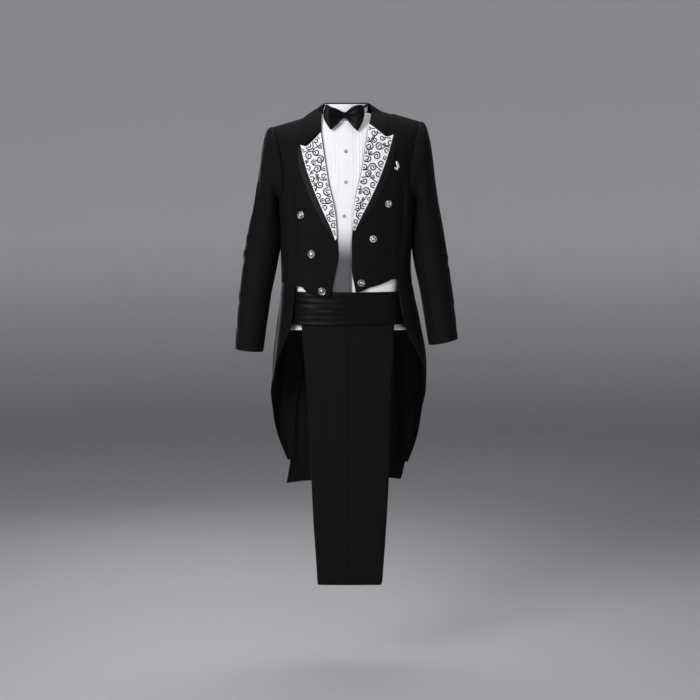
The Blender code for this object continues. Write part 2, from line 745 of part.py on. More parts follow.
def shirt_levels():
    """Rows of the shirt below the armhole, as shares of the way up from the hem."""
    return [(z - SHIRT_HEM) / (ARMHOLE_BOTTOM - SHIRT_HEM) for z in SHIRT_ROWS]


def add_shirt_front(side):
    sign = SIGN[side]
    split = 0.60
    columns, neck_columns, bib_columns = 12, 5, 9
    neck_at = neck_columns / columns
    bib_at = bib_columns / columns

    def inner(v):
        top = neck(0)
        if v < split:
            z = mix(SHIRT_HEM, ARMHOLE_BOTTOM, v / split)
        else:
            z = mix(ARMHOLE_BOTTOM, top[1], ease((v - split) / (1 - split)))
        x = read(PLACKET, "z", "middle", z) + sign * (PLACKET_HALF + 2 * SEAM)
        return angle_at(x, z), z

    def outer(v):
        if v < split:
            return sign * (SHIRT_SEAM_ANGLE - SHIRT_SEAM_GAP), mix(SHIRT_HEM, ARMHOLE_BOTTOM, v / split)
        return armhole(side, 180 * (1 - (v - split) / (1 - split)) - 0.001)

    def neck(t):
        turn = math.radians(mix(SHIRT_NECK_START, 90, t))
        angle, z = height_at(NECK_SEAM * math.sin(turn), -NECK_SEAM * math.cos(turn))
        return sign * angle, z

    def hem(u):
        edge = inner(0)[0]
        bib = angle_at(sign * BIB_EDGE, SHIRT_HEM)
        if u < bib_at:
            return mix(edge, bib, u / bib_at), SHIRT_HEM
        return mix(bib, outer(0)[0], (u - bib_at) / (1 - bib_at)), SHIRT_HEM

    def top(u):
        if u < neck_at:
            return neck(u / neck_at)
        return shoulder_place(side, (u - neck_at) / (1 - neck_at), NECK_SEAM)

    rows = [v * split for v in shirt_levels()] + even(6, split, 1)[1:]
    chart = coons(inner, outer, hem, top, even(columns), rows)
    grid = [[on_shirt(a, z) for a, z in row] for row in chart]
    for point in grid[-1][neck_columns:]:
        point.y -= RIDGE_GAP
    panel(f"shirt_front_{side}", grid, SHIRT_WALL, COTTON)


def add_shirt_back():
    split = 0.60
    neck_at = 0.34

    def neck(t):
        turn = math.radians(90 * t)
        return height_at(NECK_SEAM * math.sin(turn), NECK_SEAM * math.cos(turn))

    def middle(v):
        if v < split:
            return 180.0, mix(SHIRT_HEM, ARMHOLE_BOTTOM, v / split)
        rise = math.sin(math.pi / 2 * (v - split) / (1 - split))
        return 180.0, mix(ARMHOLE_BOTTOM, neck(0)[1], rise)

    def outer(v):
        if v < split:
            return SHIRT_SEAM_ANGLE + SHIRT_SEAM_GAP, mix(SHIRT_HEM, ARMHOLE_BOTTOM, v / split)
        return armhole("left", mix(180, 360, (v - split) / (1 - split)) + 0.001)

    def hem(u):
        return mix(180.0, outer(0)[0], u), SHIRT_HEM

    def top(u):
        if u < neck_at:
            return neck(u / neck_at)
        return shoulder_place("left", (u - neck_at) / (1 - neck_at), NECK_SEAM, back=True)

    columns = even(3, 0, neck_at) + even(4, neck_at, 1)[1:]
    rows = [v * split for v in shirt_levels()] + even(8, split, 1)[1:]
    chart = coons(middle, outer, hem, top, columns, rows)
    half = [[on_shirt(a, z) for a, z in row] for row in chart]
    for point in half[-1][3:]:
        point.y += RIDGE_GAP
    other = mirrored(half)
    whole = [list(reversed(a)) + b[1:] for a, b in zip(half, other)]
    panel("shirt_back", whole, SHIRT_WALL, COTTON)


def add_placket():
    low, high = SHIRT_HEM, -0.0165
    grid = []
    for z in even(14, low, high):
        row = []
        for share in (-1, -0.5, 0, 0.5, 1):
            x = read(PLACKET, "z", "middle", z) + share * PLACKET_HALF
            row.append(on_shirt(angle_at(x, z), z, 0.0006))
        grid.append(row)
    panel("shirt_placket", grid, SHIRT_WALL, COTTON)


def add_shirt_collar():
    """Stand collar: a band closed round the neck."""
    rows = []
    for share in (0.0, 0.5, 1.0):
        row = []
        for turn in even(22, 0, 360)[:-1]:
            angle = math.radians(turn)
            x, y = SHIRT_NECK * math.sin(angle), -SHIRT_NECK * math.cos(angle)
            foot = height_at(x, y)[1] + 0.0012
            top = mix(0.0290, 0.0330, ease(abs((turn + 180) % 360 - 180) / 180))
            row.append(Vector((x, y, mix(foot, top, share))))
        rows.append(row)
    panel("shirt_collar", rows, SHIRT_WALL, COTTON, ring=True)


def add_shirt_buttons():
    r = SHIRT_BUTTON_RADIUS
    profile = [(0.0, 0.0012), (0.6 * r, 0.0012), (0.8 * r, 0.0019), (r, 0.0013), (r, 0.0003),
               (0.8 * r, 0.0), (0.0, 0.0)]
    for i, z in enumerate(SHIRT_BUTTONS):
        angle = angle_at(read(PLACKET, "z", "middle", z), z)
        button = turned(f"shirt_button_{i + 1}", profile, 8, PEARL)
        normal = form_normal(angle, z)
        point = on_shirt(angle, z, 0.0006) + normal * (SHIRT_WALL / 2 + 0.0002)
        place_on(button, point, normal)


def add_shirt_sleeve(side):
    steps = [0, 1, 2, 3.5, 5, 6, 7.5, 9.4]
    turns = even(11, 0, 360)[:-1]
    grid = [[sleeve_point(side, step, turn, SHIRT_SLEEVE_INSET) for turn in turns] for step in steps]
    panel(f"shirt_sleeve_{side}", grid, SHIRT_WALL, COTTON, ring=True)


# Bow tie ------------------------------------------------------------------------------------


def add_bow_wing(side):
    """One loop of the bow: out from the knot in front, round the fold and back behind."""
    sign = SIGN[side]
    inner_x, top_x, tip_x = 0.0069, 0.0600, 0.0400
    rows = []
    for v in even(6):
        z_in = mix(0.0115, -0.0095, v)
        fold_x = mix(top_x, tip_x, v ** 1.15)
        z_out = mix(0.0250, -0.0445, v) + BOW_TILT[side]
        row = []
        for s in (0.0, 0.22, 0.45, 0.68, 0.88, 1.0, 1.12, 1.32, 1.55, 1.78, 2.0):
            reach = 1 - abs(1 - s)
            x = mix(inner_x, fold_x, math.sin(reach * math.pi / 2))
            spread = smooth(reach * 1.15)
            z = mix(z_in, z_out, spread) + BOW_SWELL * math.sin(math.pi * spread) * (1 - v)
            puff = 0.0022 + 0.0060 * math.sin(math.pi * min(1.0, reach * 1.02))
            wave = 0.0016 * math.sin(2 * math.pi * v) * spread
            face = -1 if s < 1 else 1
            y = 0.0 if s == 1.0 else face * puff
            hang = (0.005 - 0.018 * v) * spread
            row.append(Vector((BOW_X + sign * x, BOW_Y + y + wave + hang, BOW_Z + z)))
        rows.append(row)
    panel(f"bow_wing_{side}", rows, 0.0013, SATIN)


def add_bow_knot():
    bpy.ops.mesh.primitive_cube_add(size=1.0)
    knot = bpy.context.object
    for vertex in knot.data.vertices:
        x, y, z = vertex.co
        vertex.co = (BOW_X + x * 0.0125, BOW_Y + y * 0.0150, BOW_Z + 0.0015 + z * 0.0225)
    soft = knot.modifiers.new("Soft", "BEVEL")
    soft.width = 0.0042
    soft.segments = 3
    mesh = evaluated_mesh(knot)
    bpy.data.objects.remove(knot, do_unlink=True)
    mesh.name = "bow_knot"
    add_object("bow_knot", mesh, SATIN)


def add_bow_strap():
    radius = SHIRT_NECK + 0.0017
    rows = []
    for share in (-0.5, 0.5):
        row = []
        for turn in even(22, -4.2, 353.4):
            angle = math.radians(turn)
            away = smooth((180 - abs(turn - 180)) / 80)
            z = mix(0.0030, 0.0290, away) + share * 0.0070
            row.append(Vector((radius * math.sin(angle), -radius * math.cos(angle), z)))
        rows.append(row)
    panel("bow_strap", rows, 0.0010, SATIN)


# Cummerbund ---------------------------------------------------------------------------------


def add_cummerbund():
    rows = []
    for i in range(CUMMERBUND_PLEATS):
        high = mix(CUMMERBUND_BOTTOM, CUMMERBUND_TOP, (i + 1) / CUMMERBUND_PLEATS)
        low = mix(CUMMERBUND_BOTTOM, CUMMERBUND_TOP, i / CUMMERBUND_PLEATS)
        rows += [(low + 0.0008, CUMMERBUND_STEP), (high - 0.0008, 0.0)]
    grid = []
    for z, out in rows:
        half = read(CUMMERBUND, "z", "half", z) + out
        depth = read(CUMMERBUND, "z", "front", z) + out
        row = []
        for angle in even(14, -CUMMERBUND_END, CUMMERBUND_END):
            turn = math.radians(angle)
            row.append(Vector((half * rounded(math.sin(turn)), -depth * rounded(math.cos(turn)), z)))
        grid.append(row)
    panel("cummerbund", grid, WALL, SATIN)


def add_cummerbund_strap():
    grid = []
    for z in (STRAP_BOTTOM, STRAP_TOP):
        half = read(CUMMERBUND, "z", "half", z)
        row = []
        for angle in even(16, CUMMERBUND_END + 0.2, 360 - CUMMERBUND_END - 0.2):
            turn = math.radians(angle)
            front = read(CUMMERBUND, "z", "front", z)
            reach = mix(front, STRAP_BACK, smooth(3 * math.cos(turn) ** 2))
            row.append(Vector((half * rounded(math.sin(turn)), -reach * rounded(math.cos(turn)), z)))
        grid.append(row)
    panel("cummerbund_strap", grid, WALL, SATIN)


# Trousers -----------------------------------------------------------------------------------


def trouser_row(z, layer, part):
    """One level of a folded leg. layer is -1 for the near leg and 1 for the far one."""
    low_x = read(TROUSERS, "z", "low_x", z) + 0.0012 * layer
    high_x = read(TROUSERS, "z", "high_x", z) + 0.0012 * layer
    depth = read(TROUSERS, "z", "depth", z)
    spread = read(TROUSERS, "z", "spread", z)
    thick = read(TROUSERS, "z", "thick", z)
    middle = (low_x + high_x) / 2
    half = (high_x - low_x) / 2
    sign = -1 if part == "front" else 1
    flat = half - thick
    places = [(SEAM / 2, -1.0), (0.36 * flat, -1.0), (0.72 * flat, -1.0), (flat, -1.0)]
    places += [(flat + 0.7 * thick, -0.71), (half, 0.0), (flat + 0.7 * thick, 0.71)]
    places += [(flat, 1.0), (0.72 * flat, 1.0), (0.36 * flat, 1.0), (SEAM / 2, 1.0)]
    row = []
    for across, face in places:
        x = middle + sign * across
        curve = (1 - min(1.0, abs(x - 0.005) / spread) ** BOX) ** (1 / BOX)
        y = -depth * curve + layer * (thick + WALL / 2 + LEG_GAP) + face * thick
        row.append(Vector((x, y, z)))
    return row


def add_trousers():
    for layer, leg in ((-1, "near"), (1, "far")):
        for part in ("front", "back"):
            grid = [trouser_row(z, layer, part) for z in even(8, TROUSER_HEM, WAISTBAND_BOTTOM - SEAM)]
            panel(f"trouser_{part}_{leg}", grid, WALL, TROUSER_WOOL)


def add_waistband():
    """The folded waistband, one flat loop over both halves."""
    grid = []
    for z in (WAISTBAND_BOTTOM, TROUSERS[0]["z"]):
        near_front = trouser_row(z, -1, "front")
        near_back = trouser_row(z, -1, "back")
        far_front = trouser_row(z, 1, "front")
        far_back = trouser_row(z, 1, "back")
        row = list(reversed(near_back[1:4])) + near_front[1:4]
        row += [(near_front[5] + far_front[5]) / 2] + far_front[7:10]
        row += list(reversed(far_back[7:10])) + [(near_back[5] + far_back[5]) / 2]
        grid.append(row)
    panel("trouser_waistband", grid, WALL, TROUSER_WOOL, ring=True)


clear_scene()
SET = bpy.data.collections.new("evening_tailcoat_set")
bpy.context.scene.collection.children.link(SET)
WOOL = material("black_wool", (0.006, 0.006, 0.007), 0.85)
TROUSER_WOOL = material("trouser_wool", (0.005, 0.005, 0.006), 0.85)
SATIN = material("black_satin", (0.005, 0.005, 0.006), 0.35)
SATIN_WHITE = material("white_satin", (0.85, 0.85, 0.88), 0.4)
COTTON = material("white_cotton", (0.85, 0.86, 0.90), 0.8)
SILVER = material("silver", (0.75, 0.75, 0.76), 0.25, 1.0)
PEARL = material("pearl", (0.82, 0.82, 0.84), 0.3)

for wearer_side in SIGN:
    add_coat_front(wearer_side)
    add_sidebody(wearer_side)
    add_coat_back(wearer_side)
    add_skirt(wearer_side)
    add_lapel(wearer_side)
    add_sleeve(wearer_side)
    add_shirt_front(wearer_side)
    add_shirt_sleeve(wearer_side)
    add_bow_wing(wearer_side)
add_coat_collar()
add_coat_buttons()
add_pin()
add_shirt_back()
add_placket()
add_shirt_collar()
add_shirt_buttons()
add_bow_knot()
add_bow_strap()
add_cummerbund()
add_cummerbund_strap()
add_trousers()
add_waistband()
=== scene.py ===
import math
import random

import bmesh
import bpy
import numpy as np
from mathutils import Matrix, Vector, noise
from mathutils.bvhtree import BVHTree
from mathutils.kdtree import KDTree


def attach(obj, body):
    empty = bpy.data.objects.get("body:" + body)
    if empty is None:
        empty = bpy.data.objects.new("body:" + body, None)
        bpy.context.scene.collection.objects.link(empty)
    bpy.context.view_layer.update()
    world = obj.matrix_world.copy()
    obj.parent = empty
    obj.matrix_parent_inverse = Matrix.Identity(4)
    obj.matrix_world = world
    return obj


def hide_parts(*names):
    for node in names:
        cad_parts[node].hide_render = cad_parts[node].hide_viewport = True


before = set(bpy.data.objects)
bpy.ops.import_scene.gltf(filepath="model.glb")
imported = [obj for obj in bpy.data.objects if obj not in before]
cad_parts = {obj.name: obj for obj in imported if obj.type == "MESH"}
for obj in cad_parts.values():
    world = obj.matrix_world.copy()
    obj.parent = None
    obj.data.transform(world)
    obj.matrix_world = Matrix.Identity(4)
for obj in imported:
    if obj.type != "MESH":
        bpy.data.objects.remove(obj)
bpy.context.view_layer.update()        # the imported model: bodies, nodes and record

wearerSides = {"left": 1.0, "right": -1.0}    # the wearer's left is +X


# small helpers

def pick(*pieces):
    # selects only these pieces, with the first one active
    for item in bpy.context.selected_objects:
        item.select_set(False)
    for piece in pieces:
        piece.select_set(True)
        bpy.context.view_layer.objects.active = pieces[0]


def linkPiece(name, mesh):
    piece = bpy.data.objects.new(name, mesh)
    bpy.context.scene.collection.objects.link(piece)
    return piece


def applyModifier(piece, kind, **settings):
    modifier = piece.modifiers.new(kind.title(), kind)
    for key, value in settings.items():
        setattr(modifier, key, value)
    pick(piece)
    bpy.ops.object.modifier_apply(modifier=modifier.name)


def readShell(mesh):
    shell = bmesh.new()
    shell.from_mesh(mesh)
    return shell


def meshPiece(name, shell, *finishes):
    mesh = bpy.data.meshes.new(name)
    shell.to_mesh(mesh)
    shell.free()
    mesh.materials.clear()
    for finish in finishes:
        mesh.materials.append(materials[finish])
    return linkPiece(name, mesh)


def readRows(items, key):
    flat = np.empty(len(items) * 3)
    items.foreach_get(key, flat)
    return flat.reshape(-1, 3)


def readPoints(mesh):
    return readRows(mesh.vertices, "co")


def writePoints(mesh, points):
    mesh.vertices.foreach_set("co", points.ravel())
    mesh.update()


def nodeBox(node):
    points = readPoints(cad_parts[node].data)
    return points.min(axis=0), points.max(axis=0)


def smoothStep(value):
    value = np.clip(value, 0.0, 1.0)
    return value * value * (3 - 2 * value)


def rise(value, start, width):
    return smoothStep((value - start) / width)


def fall(value, end, width):
    return smoothStep((end - value) / width)


# materials

def newMaterial(name, colour, roughness, **constants):
    made = bpy.data.materials.new(name)
    made.use_nodes = True
    shader = made.node_tree.nodes["Principled BSDF"]
    shader.inputs["Base Color"].default_value = (*colour, 1.0)
    shader.inputs["Roughness"].default_value = roughness
    for key, value in constants.items():
        shader.inputs[key].default_value = value
    return made, made.node_tree.nodes, made.node_tree.links, shader


def addNode(nodes, kind, inputs=None, **settings):
    node = nodes.new(kind)
    for key, value in settings.items():
        setattr(node, key, value)
    for key, value in (inputs or {}).items():
        node.inputs[key].default_value = value
    return node


def wire(links, *pairs):
    for source, target in pairs:
        links.new(source, target)


def mixColours(nodes, links, factor, first, second):
    # each of the two is a colour, or an output that gives one
    mix = addNode(nodes, "ShaderNodeMix", data_type="RGBA")
    links.new(factor, mix.inputs["Factor"])
    for slot, colour in ((6, first), (7, second)):
        if isinstance(colour, tuple):
            mix.inputs[slot].default_value = (*colour, 1.0)
        else:
            links.new(colour, mix.inputs[slot])
    return mix.outputs[2]


weaveSet = {
    "ribHeight": 0.35, "threadShare": 0.5, "patchShare": 0.55, "patchMiddle": 0.5, "bumpDepth": 0.0004,
    "slubs": {"Scale": 520.0, "Detail": 2.0, "Roughness": 0.6},
    "patches": {"Detail": 3.0, "Roughness": 0.55},
}
weaveSockets = {"Colour": "colour", "Second Colour": "second", "Ribs": "ribs", "Slant": "slant",
                "Patch Size": "patches", "Roughness": "roughness", "Roughness Change": "roughnessChange"}


def makeClothGroup():
    # woven cloth: slanting ribs on the piece's own map, with slubs and a slow change of shade
    group = bpy.data.node_groups.new("wovenCloth", "ShaderNodeTree")
    for way, names in (("INPUT", weaveSockets), ("OUTPUT", ("Colour", "Roughness", "Height"))):
        for name in names:
            kind = "NodeSocketColor" if "Colour" in name else "NodeSocketFloat"
            group.interface.new_socket(name, in_out=way, socket_type=kind)
    nodes, links = group.nodes, group.links
    given, result = nodes.new("NodeGroupInput"), nodes.new("NodeGroupOutput")

    def reckon(operation, *values, clamp=False):
        node = addNode(nodes, "ShaderNodeMath", operation=operation, use_clamp=clamp)
        for slot, value in enumerate(values):
            if isinstance(value, float):
                node.inputs[slot].default_value = value
            else:
                links.new(value, node.inputs[slot])
        return node.outputs[0]

    place = addNode(nodes, "ShaderNodeUVMap", uv_map="cloth")
    parts = nodes.new("ShaderNodeSeparateXYZ")
    slubs = addNode(nodes, "ShaderNodeTexNoise", weaveSet["slubs"])
    patches = addNode(nodes, "ShaderNodeTexNoise", weaveSet["patches"])
    wire(links, *((place.outputs[0], node.inputs["Vector"]) for node in (parts, slubs, patches)))
    links.new(given.outputs["Patch Size"], patches.inputs["Scale"])
    shade = patches.outputs["Fac"]
    # the ribs are the sine of (u * slant + v) * ribs
    slanted = reckon("ADD", reckon("MULTIPLY", parts.outputs[0], given.outputs["Slant"]), parts.outputs[1])
    wave = reckon("SINE", reckon("MULTIPLY", slanted, given.outputs["Ribs"]))
    height = reckon("ADD", reckon("MULTIPLY", wave, weaveSet["ribHeight"]), slubs.outputs["Fac"])
    share = reckon("ADD", reckon("MULTIPLY", height, weaveSet["threadShare"]),
                   reckon("MULTIPLY", shade, weaveSet["patchShare"]), clamp=True)
    change = reckon("MULTIPLY", reckon("SUBTRACT", shade, weaveSet["patchMiddle"]),
                    given.outputs["Roughness Change"])
    gloss = reckon("ADD", given.outputs["Roughness"], change, clamp=True)
    colour = mixColours(nodes, links, share, given.outputs["Colour"], given.outputs["Second Colour"])
    wire(links, (colour, result.inputs["Colour"]), (gloss, result.inputs["Roughness"]),
         (height, result.inputs["Height"]))
    return group


def clothMaterial(name, settings):
    made, nodes, links, shader = newMaterial(name, settings["colour"], settings["roughness"],
                                             **settings["constants"])
    weave = nodes.new("ShaderNodeGroup")
    weave.node_tree = wovenCloth
    for socket, key in weaveSockets.items():
        value = settings[key]
        weave.inputs[socket].default_value = (*value, 1.0) if isinstance(value, tuple) else value
    colour = weave.outputs["Colour"]
    if "paintedShadeColour" in settings:    # painted shade: dark grey mixed into the shirt's front between the coat's fronts, where that recess falls in shade
        # the point attribute marks where the shade is painted
        thin = addNode(nodes, "ShaderNodeAttribute", attribute_name="thin")
        colour = mixColours(nodes, links, thin.outputs["Fac"], colour, settings["paintedShadeColour"])
    bump = addNode(nodes, "ShaderNodeBump", {"Strength": settings["bump"], "Distance": weaveSet["bumpDepth"]})
    wire(links, (colour, shader.inputs["Base Color"]), (weave.outputs["Height"], bump.inputs["Height"]),
         (weave.outputs["Roughness"], shader.inputs["Roughness"]), (bump.outputs[0], shader.inputs["Normal"]))
    return made


wovenCloth = makeClothGroup()
finishes = {
    "blackWool": dict(colour=(0.0026, 0.0026, 0.0030), second=(0.0048, 0.0048, 0.0054), ribs=4200.0,
                      slant=1.0, patches=7.0, roughness=0.80, roughnessChange=0.12, bump=0.22,
                      constants={"Sheen Weight": 0.012, "Sheen Roughness": 0.45,
                                 "Specular IOR Level": 0.10}),
    "trouserWool": dict(colour=(0.0026, 0.0026, 0.0028), second=(0.0044, 0.0044, 0.0046), ribs=4200.0,
                        slant=1.0, patches=6.0, roughness=0.84, roughnessChange=0.10, bump=0.22,
                        constants={"Sheen Weight": 0.016, "Sheen Roughness": 0.5,
                                   "Specular IOR Level": 0.12}),
    "lining": dict(colour=(0.0030, 0.0030, 0.0034), second=(0.0050, 0.0050, 0.0055), ribs=5200.0,
                   slant=0.0, patches=12.0, roughness=0.48, roughnessChange=0.15, bump=0.12,
                   constants={"Specular IOR Level": 0.22}),
    "blackSatin": dict(colour=(0.0017, 0.0017, 0.0020), second=(0.0032, 0.0032, 0.0037), ribs=5600.0,
                       slant=0.0, patches=16.0, roughness=0.42, roughnessChange=0.14, bump=0.12,
                       constants={"Specular IOR Level": 0.075, "Sheen Weight": 0.007}),
    "darkSatin": dict(colour=(0.0034, 0.0034, 0.0038), second=(0.0056, 0.0056, 0.0060), ribs=5600.0,
                      slant=0.0, patches=20.0, roughness=0.60, roughnessChange=0.12, bump=0.12,
                      constants={"Specular IOR Level": 0.14, "Sheen Weight": 0.015}),
    "whiteSatin": dict(colour=(0.82, 0.82, 0.85), second=(0.89, 0.89, 0.91), ribs=3600.0,
                       slant=0.15, patches=14.0, roughness=0.40, roughnessChange=0.12, bump=0.12,
                       constants={"Specular IOR Level": 0.4, "Sheen Weight": 0.1}),
    "whiteCotton": dict(colour=(0.84, 0.85, 0.89), second=(0.90, 0.90, 0.93), ribs=5200.0,
                        slant=0.0, patches=8.0, roughness=0.85, roughnessChange=0.08, bump=0.16,
                        constants={"Specular IOR Level": 0.3, "Sheen Weight": 0.12},
                        # a dark grey painted shade for the shirt's front between the coat's fronts
                        paintedShadeColour=(0.095, 0.095, 0.101)),
}
materials = {name: clothMaterial(name, settings) for name, settings in finishes.items()}

hardSet = {"detail": 3.0, "noiseRoughness": 0.6, "paintedGlintFrom": 0.35, "paintedGlintTo": 0.65, "leastRoughness": 0.02,
           "bump": 0.15, "bumpDepth": 0.0001}
hardFinishes = {    # name, colour, its darker part, roughness, its spread, scale of the mottling, the rest
    "metal": ("silverMetal", (0.42, 0.42, 0.44), (0.16, 0.16, 0.17), 0.26, 0.12, 900.0, {"Metallic": 1.0}),
    "pinMetal": ("brightMetal", (0.93, 0.93, 0.95), (0.75, 0.75, 0.78), 0.35, 0.12, 900.0, {"Metallic": 0.6}),
    # the stone's light colour and its darker part are painted glints and dark reflections of its facets, set
    # by cells
    "stone": ("clearStone", (0.95, 0.96, 0.98), (0.06, 0.065, 0.075), 0.06, 0.04, 500.0,
              {"facets": 420.0, "Metallic": 0.75}),
    "shell": ("pearlShell", (0.36, 0.36, 0.38), (0.24, 0.24, 0.26), 0.25, 0.08, 260.0, {"Coat Weight": 0.4}),
    "thread": ("whiteThread", (0.80, 0.80, 0.82), (0.62, 0.62, 0.64), 0.80, 0.10, 2500.0, {}),
    "scroll": ("flockedScroll", (0.010, 0.010, 0.012), (0.004, 0.004, 0.005), 0.85, 0.10, 1400.0,
               {"Sheen Weight": 0.05, "Specular IOR Level": 0.2}),
}


def hardMaterial(name, colour, darker, roughness, spread, scale, facets=0.0, **constants):
    # a mottled colour, and wear that changes the gloss; on stones, painted reflections: light and dark cells
    # in the colour stand in for the facets' glints
    made, nodes, links, shader = newMaterial(name, colour, roughness, **constants)
    place = nodes.new("ShaderNodeTexCoord").outputs["Object"]
    mottle = addNode(nodes, "ShaderNodeTexNoise", {"Scale": scale, "Detail": hardSet["detail"],
                                                   "Roughness": hardSet["noiseRoughness"]})
    links.new(place, mottle.inputs["Vector"])
    factor = mottle.outputs["Fac"]
    if facets:
        paintedGlintCells = addNode(nodes, "ShaderNodeTexVoronoi", {"Scale": facets})
        ramp = addNode(nodes, "ShaderNodeMapRange", {"From Min": hardSet["paintedGlintFrom"],
                                                     "From Max": hardSet["paintedGlintTo"]})
        wire(links, (place, paintedGlintCells.inputs["Vector"]), (paintedGlintCells.outputs["Color"], ramp.inputs["Value"]))
        factor = ramp.outputs["Result"]
    least = max(hardSet["leastRoughness"], roughness - spread)
    gloss = addNode(nodes, "ShaderNodeMapRange", {"To Min": least, "To Max": roughness + spread})
    bump = addNode(nodes, "ShaderNodeBump", {"Strength": hardSet["bump"], "Distance": hardSet["bumpDepth"]})
    wire(links, (mixColours(nodes, links, factor, darker, colour), shader.inputs["Base Color"]),
         (mottle.outputs["Fac"], gloss.inputs["Value"]), (mottle.outputs["Fac"], bump.inputs["Height"]),
         (gloss.outputs["Result"], shader.inputs["Roughness"]), (bump.outputs[0], shader.inputs["Normal"]))
    return made


for key, (*values, rest) in hardFinishes.items():
    materials[key] = hardMaterial(*values, **rest)
print("materials made:", len(materials))


# cloth from the fixed solids

sleeveLine = {"height": (-0.66, -0.60, -0.495, -0.405, -0.31, -0.15),
              "across": (0.278, 0.271, 0.260, 0.248, 0.229, 0.205),
              "depth": (-0.030, -0.0215, -0.009, 0, 0, 0)}    # the middle of the arm


def armMiddle(place):
    sign = 1.0 if place.x > 0 else -1.0
    return Vector((sign * np.interp(place.z, sleeveLine["height"], sleeveLine["across"]),
                   np.interp(place.z, sleeveLine["height"], sleeveLine["depth"]), place.z))


skinSet = {"weld": 0.00002, "start": 0.00001, "deepest": 1.7, "rim": 1.25, "fold": 72, "smallFold": 55,
           "cutFold": 110, "joinFace": 60, "joinShape": 179}    # rims in walls, folds and joins in degrees


def outerSkin(node, inside=None):
    # the outward face of the node's cloth, without its rims, with its triangles joined in pairs again
    skin = readShell(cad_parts[node].data)
    bmesh.ops.remove_doubles(skin, verts=skin.verts, dist=skinSet["weld"])
    skin.faces.index_update()
    skin.normal_update()
    tree = BVHTree.FromBMesh(skin)
    depths = []
    for face in skin.faces:
        hit = tree.ray_cast(face.calc_center_median() - face.normal * skinSet["start"], -face.normal)
        depths.append(hit[3] if hit[0] is not None else 1.0)
    byArea = sorted(skin.faces, key=lambda face: depths[face.index])
    half, total = 0.5 * sum(face.calc_area() for face in byArea), 0.0
    for face in byArea:
        total += face.calc_area()
        if total > half:
            wall = depths[face.index]
            break
    thin = [face for face in skin.faces if depths[face.index] < skinSet["deepest"] * wall]
    # a rim is one wall wide
    broad = {face for face in thin
             if min(edge.calc_length() for edge in face.edges) > skinSet["rim"] * wall}
    groupOf, groups = {}, []
    for face in byArea:
        if face not in broad or face in groupOf:
            continue
        groupOf[face] = len(groups)
        members, waiting = [], [face]
        while waiting:
            now = waiting.pop()
            members.append(now)
            for edge in now.edges:
                if len(edge.link_faces) == 2 and edge.calc_face_angle(0) < math.radians(skinSet["fold"]):
                    for other in edge.link_faces:
                        if other in broad and other not in groupOf:
                            groupOf[other] = len(groups)
                            waiting.append(other)
        groups.append(members)
    areas = [sum(face.calc_area() for face in members) for members in groups]
    order = sorted(range(len(groups)), key=lambda i: -areas[i])
    # small faces, and corners that a sharp fold has cut off, go back to the face they meet
    groupOf = {face: i for i in order[:2] for face in groups[i]}
    loose = [[face] for face in thin if face not in broad]
    loose += [groups[i] for i in order[2:]]
    while loose:
        left = []
        for members in loose:
            limit = math.radians(skinSet["cutFold" if members[0] in broad else "smallFold"])
            best = min(((edge.calc_face_angle(9), groupOf[other]) for face in members for edge in face.edges
                        for other in edge.link_faces if other in groupOf), default=(9, 0))
            if best[0] < limit:
                groups[best[1]].extend(members)
                groupOf.update({face: best[1] for face in members})
            else:
                left.append(members)
        if len(left) == len(loose):
            break
        loose = left
    middle = sum((vertex.co for vertex in skin.verts), Vector()) / len(skin.verts)

    def facing(members):
        total = 0.0
        for face in members:
            centre = face.calc_center_median()
            away = centre - {"own": middle, "sleeve": armMiddle(centre)}.get(inside, Vector((0, 0, centre.z)))
            total += face.calc_area() * face.normal.dot(away.normalized())
        return total

    keep = set(max((groups[i] for i in order[:2]), key=facing))
    bmesh.ops.delete(skin, geom=[face for face in skin.faces if face not in keep], context="FACES")
    bmesh.ops.join_triangles(skin, faces=skin.faces[:], topology_influence=1.0,
                             angle_face_threshold=math.radians(skinSet["joinFace"]),
                             angle_shape_threshold=math.radians(skinSet["joinShape"]))
    return skin


def meshTree(piece):
    shell = readShell(piece.data)
    tree = BVHTree.FromBMesh(shell)
    shell.free()
    return tree


foldSet = {"from": (-0.12, 0.34), "to": (1.12, 0.5), "spread": (0.75, 0.5), "ridge": 0.4, "ridgePlace": 1.7,
           "ridgeWidth": 1.1}


def foldField(across, up, folds):
    # soft troughs and ridges; each fold runs from one place to another, with a bow, a width and a depth
    total = np.zeros(len(across))
    for a0, u0, a1, u1, bow, width, depth in np.array(folds) / 1000:
        run = np.array([a1 - a0, u1 - u0])
        length = np.linalg.norm(run)
        t = ((across - a0) * run[0] + (up - u0) * run[1]) / length ** 2
        beside = ((up - u0) * run[0] - (across - a0) * run[1]) / length
        beside = beside - bow * 4 * np.clip(t, 0, 1) * (1 - np.clip(t, 0, 1))
        ends = rise(t, *foldSet["from"]) * fall(t, *foldSet["to"])
        spread = width * (foldSet["spread"][0] + foldSet["spread"][1] * np.clip(t, 0, 1))
        trough = np.exp(-(beside / spread) ** 2)
        ridge = np.exp(-((beside - foldSet["ridgePlace"] * spread) / (foldSet["ridgeWidth"] * spread)) ** 2)
        total += depth * ends * (trough - foldSet["ridge"] * ridge)
    return total


def unevenness(points, size, amount, seed):
    # a slow wave over the cloth; size is its reach across, in depth and in height
    shift = Vector([seed * step for step in (3.7, 1.3, 2.1)])
    return np.array([amount * noise.noise(Vector(p) + shift) for p in points / np.array(size)])


def nearEdge(mesh, points, reach):
    # 1 on the piece's edge, falling to 0 inside it
    shell = readShell(mesh)
    rim = [vertex.index for vertex in shell.verts if vertex.is_boundary]
    shell.free()
    tree = KDTree(len(rim))
    for count, index in enumerate(rim):
        tree.insert(Vector(points[index]), count)
    tree.balance()
    return np.array([math.exp(-(tree.find(Vector(p))[2] / reach) ** 2) for p in points])


edgeSet = {"pressReach": 0.004, "bendDown": 0.15, "bendOut": 0.0002}


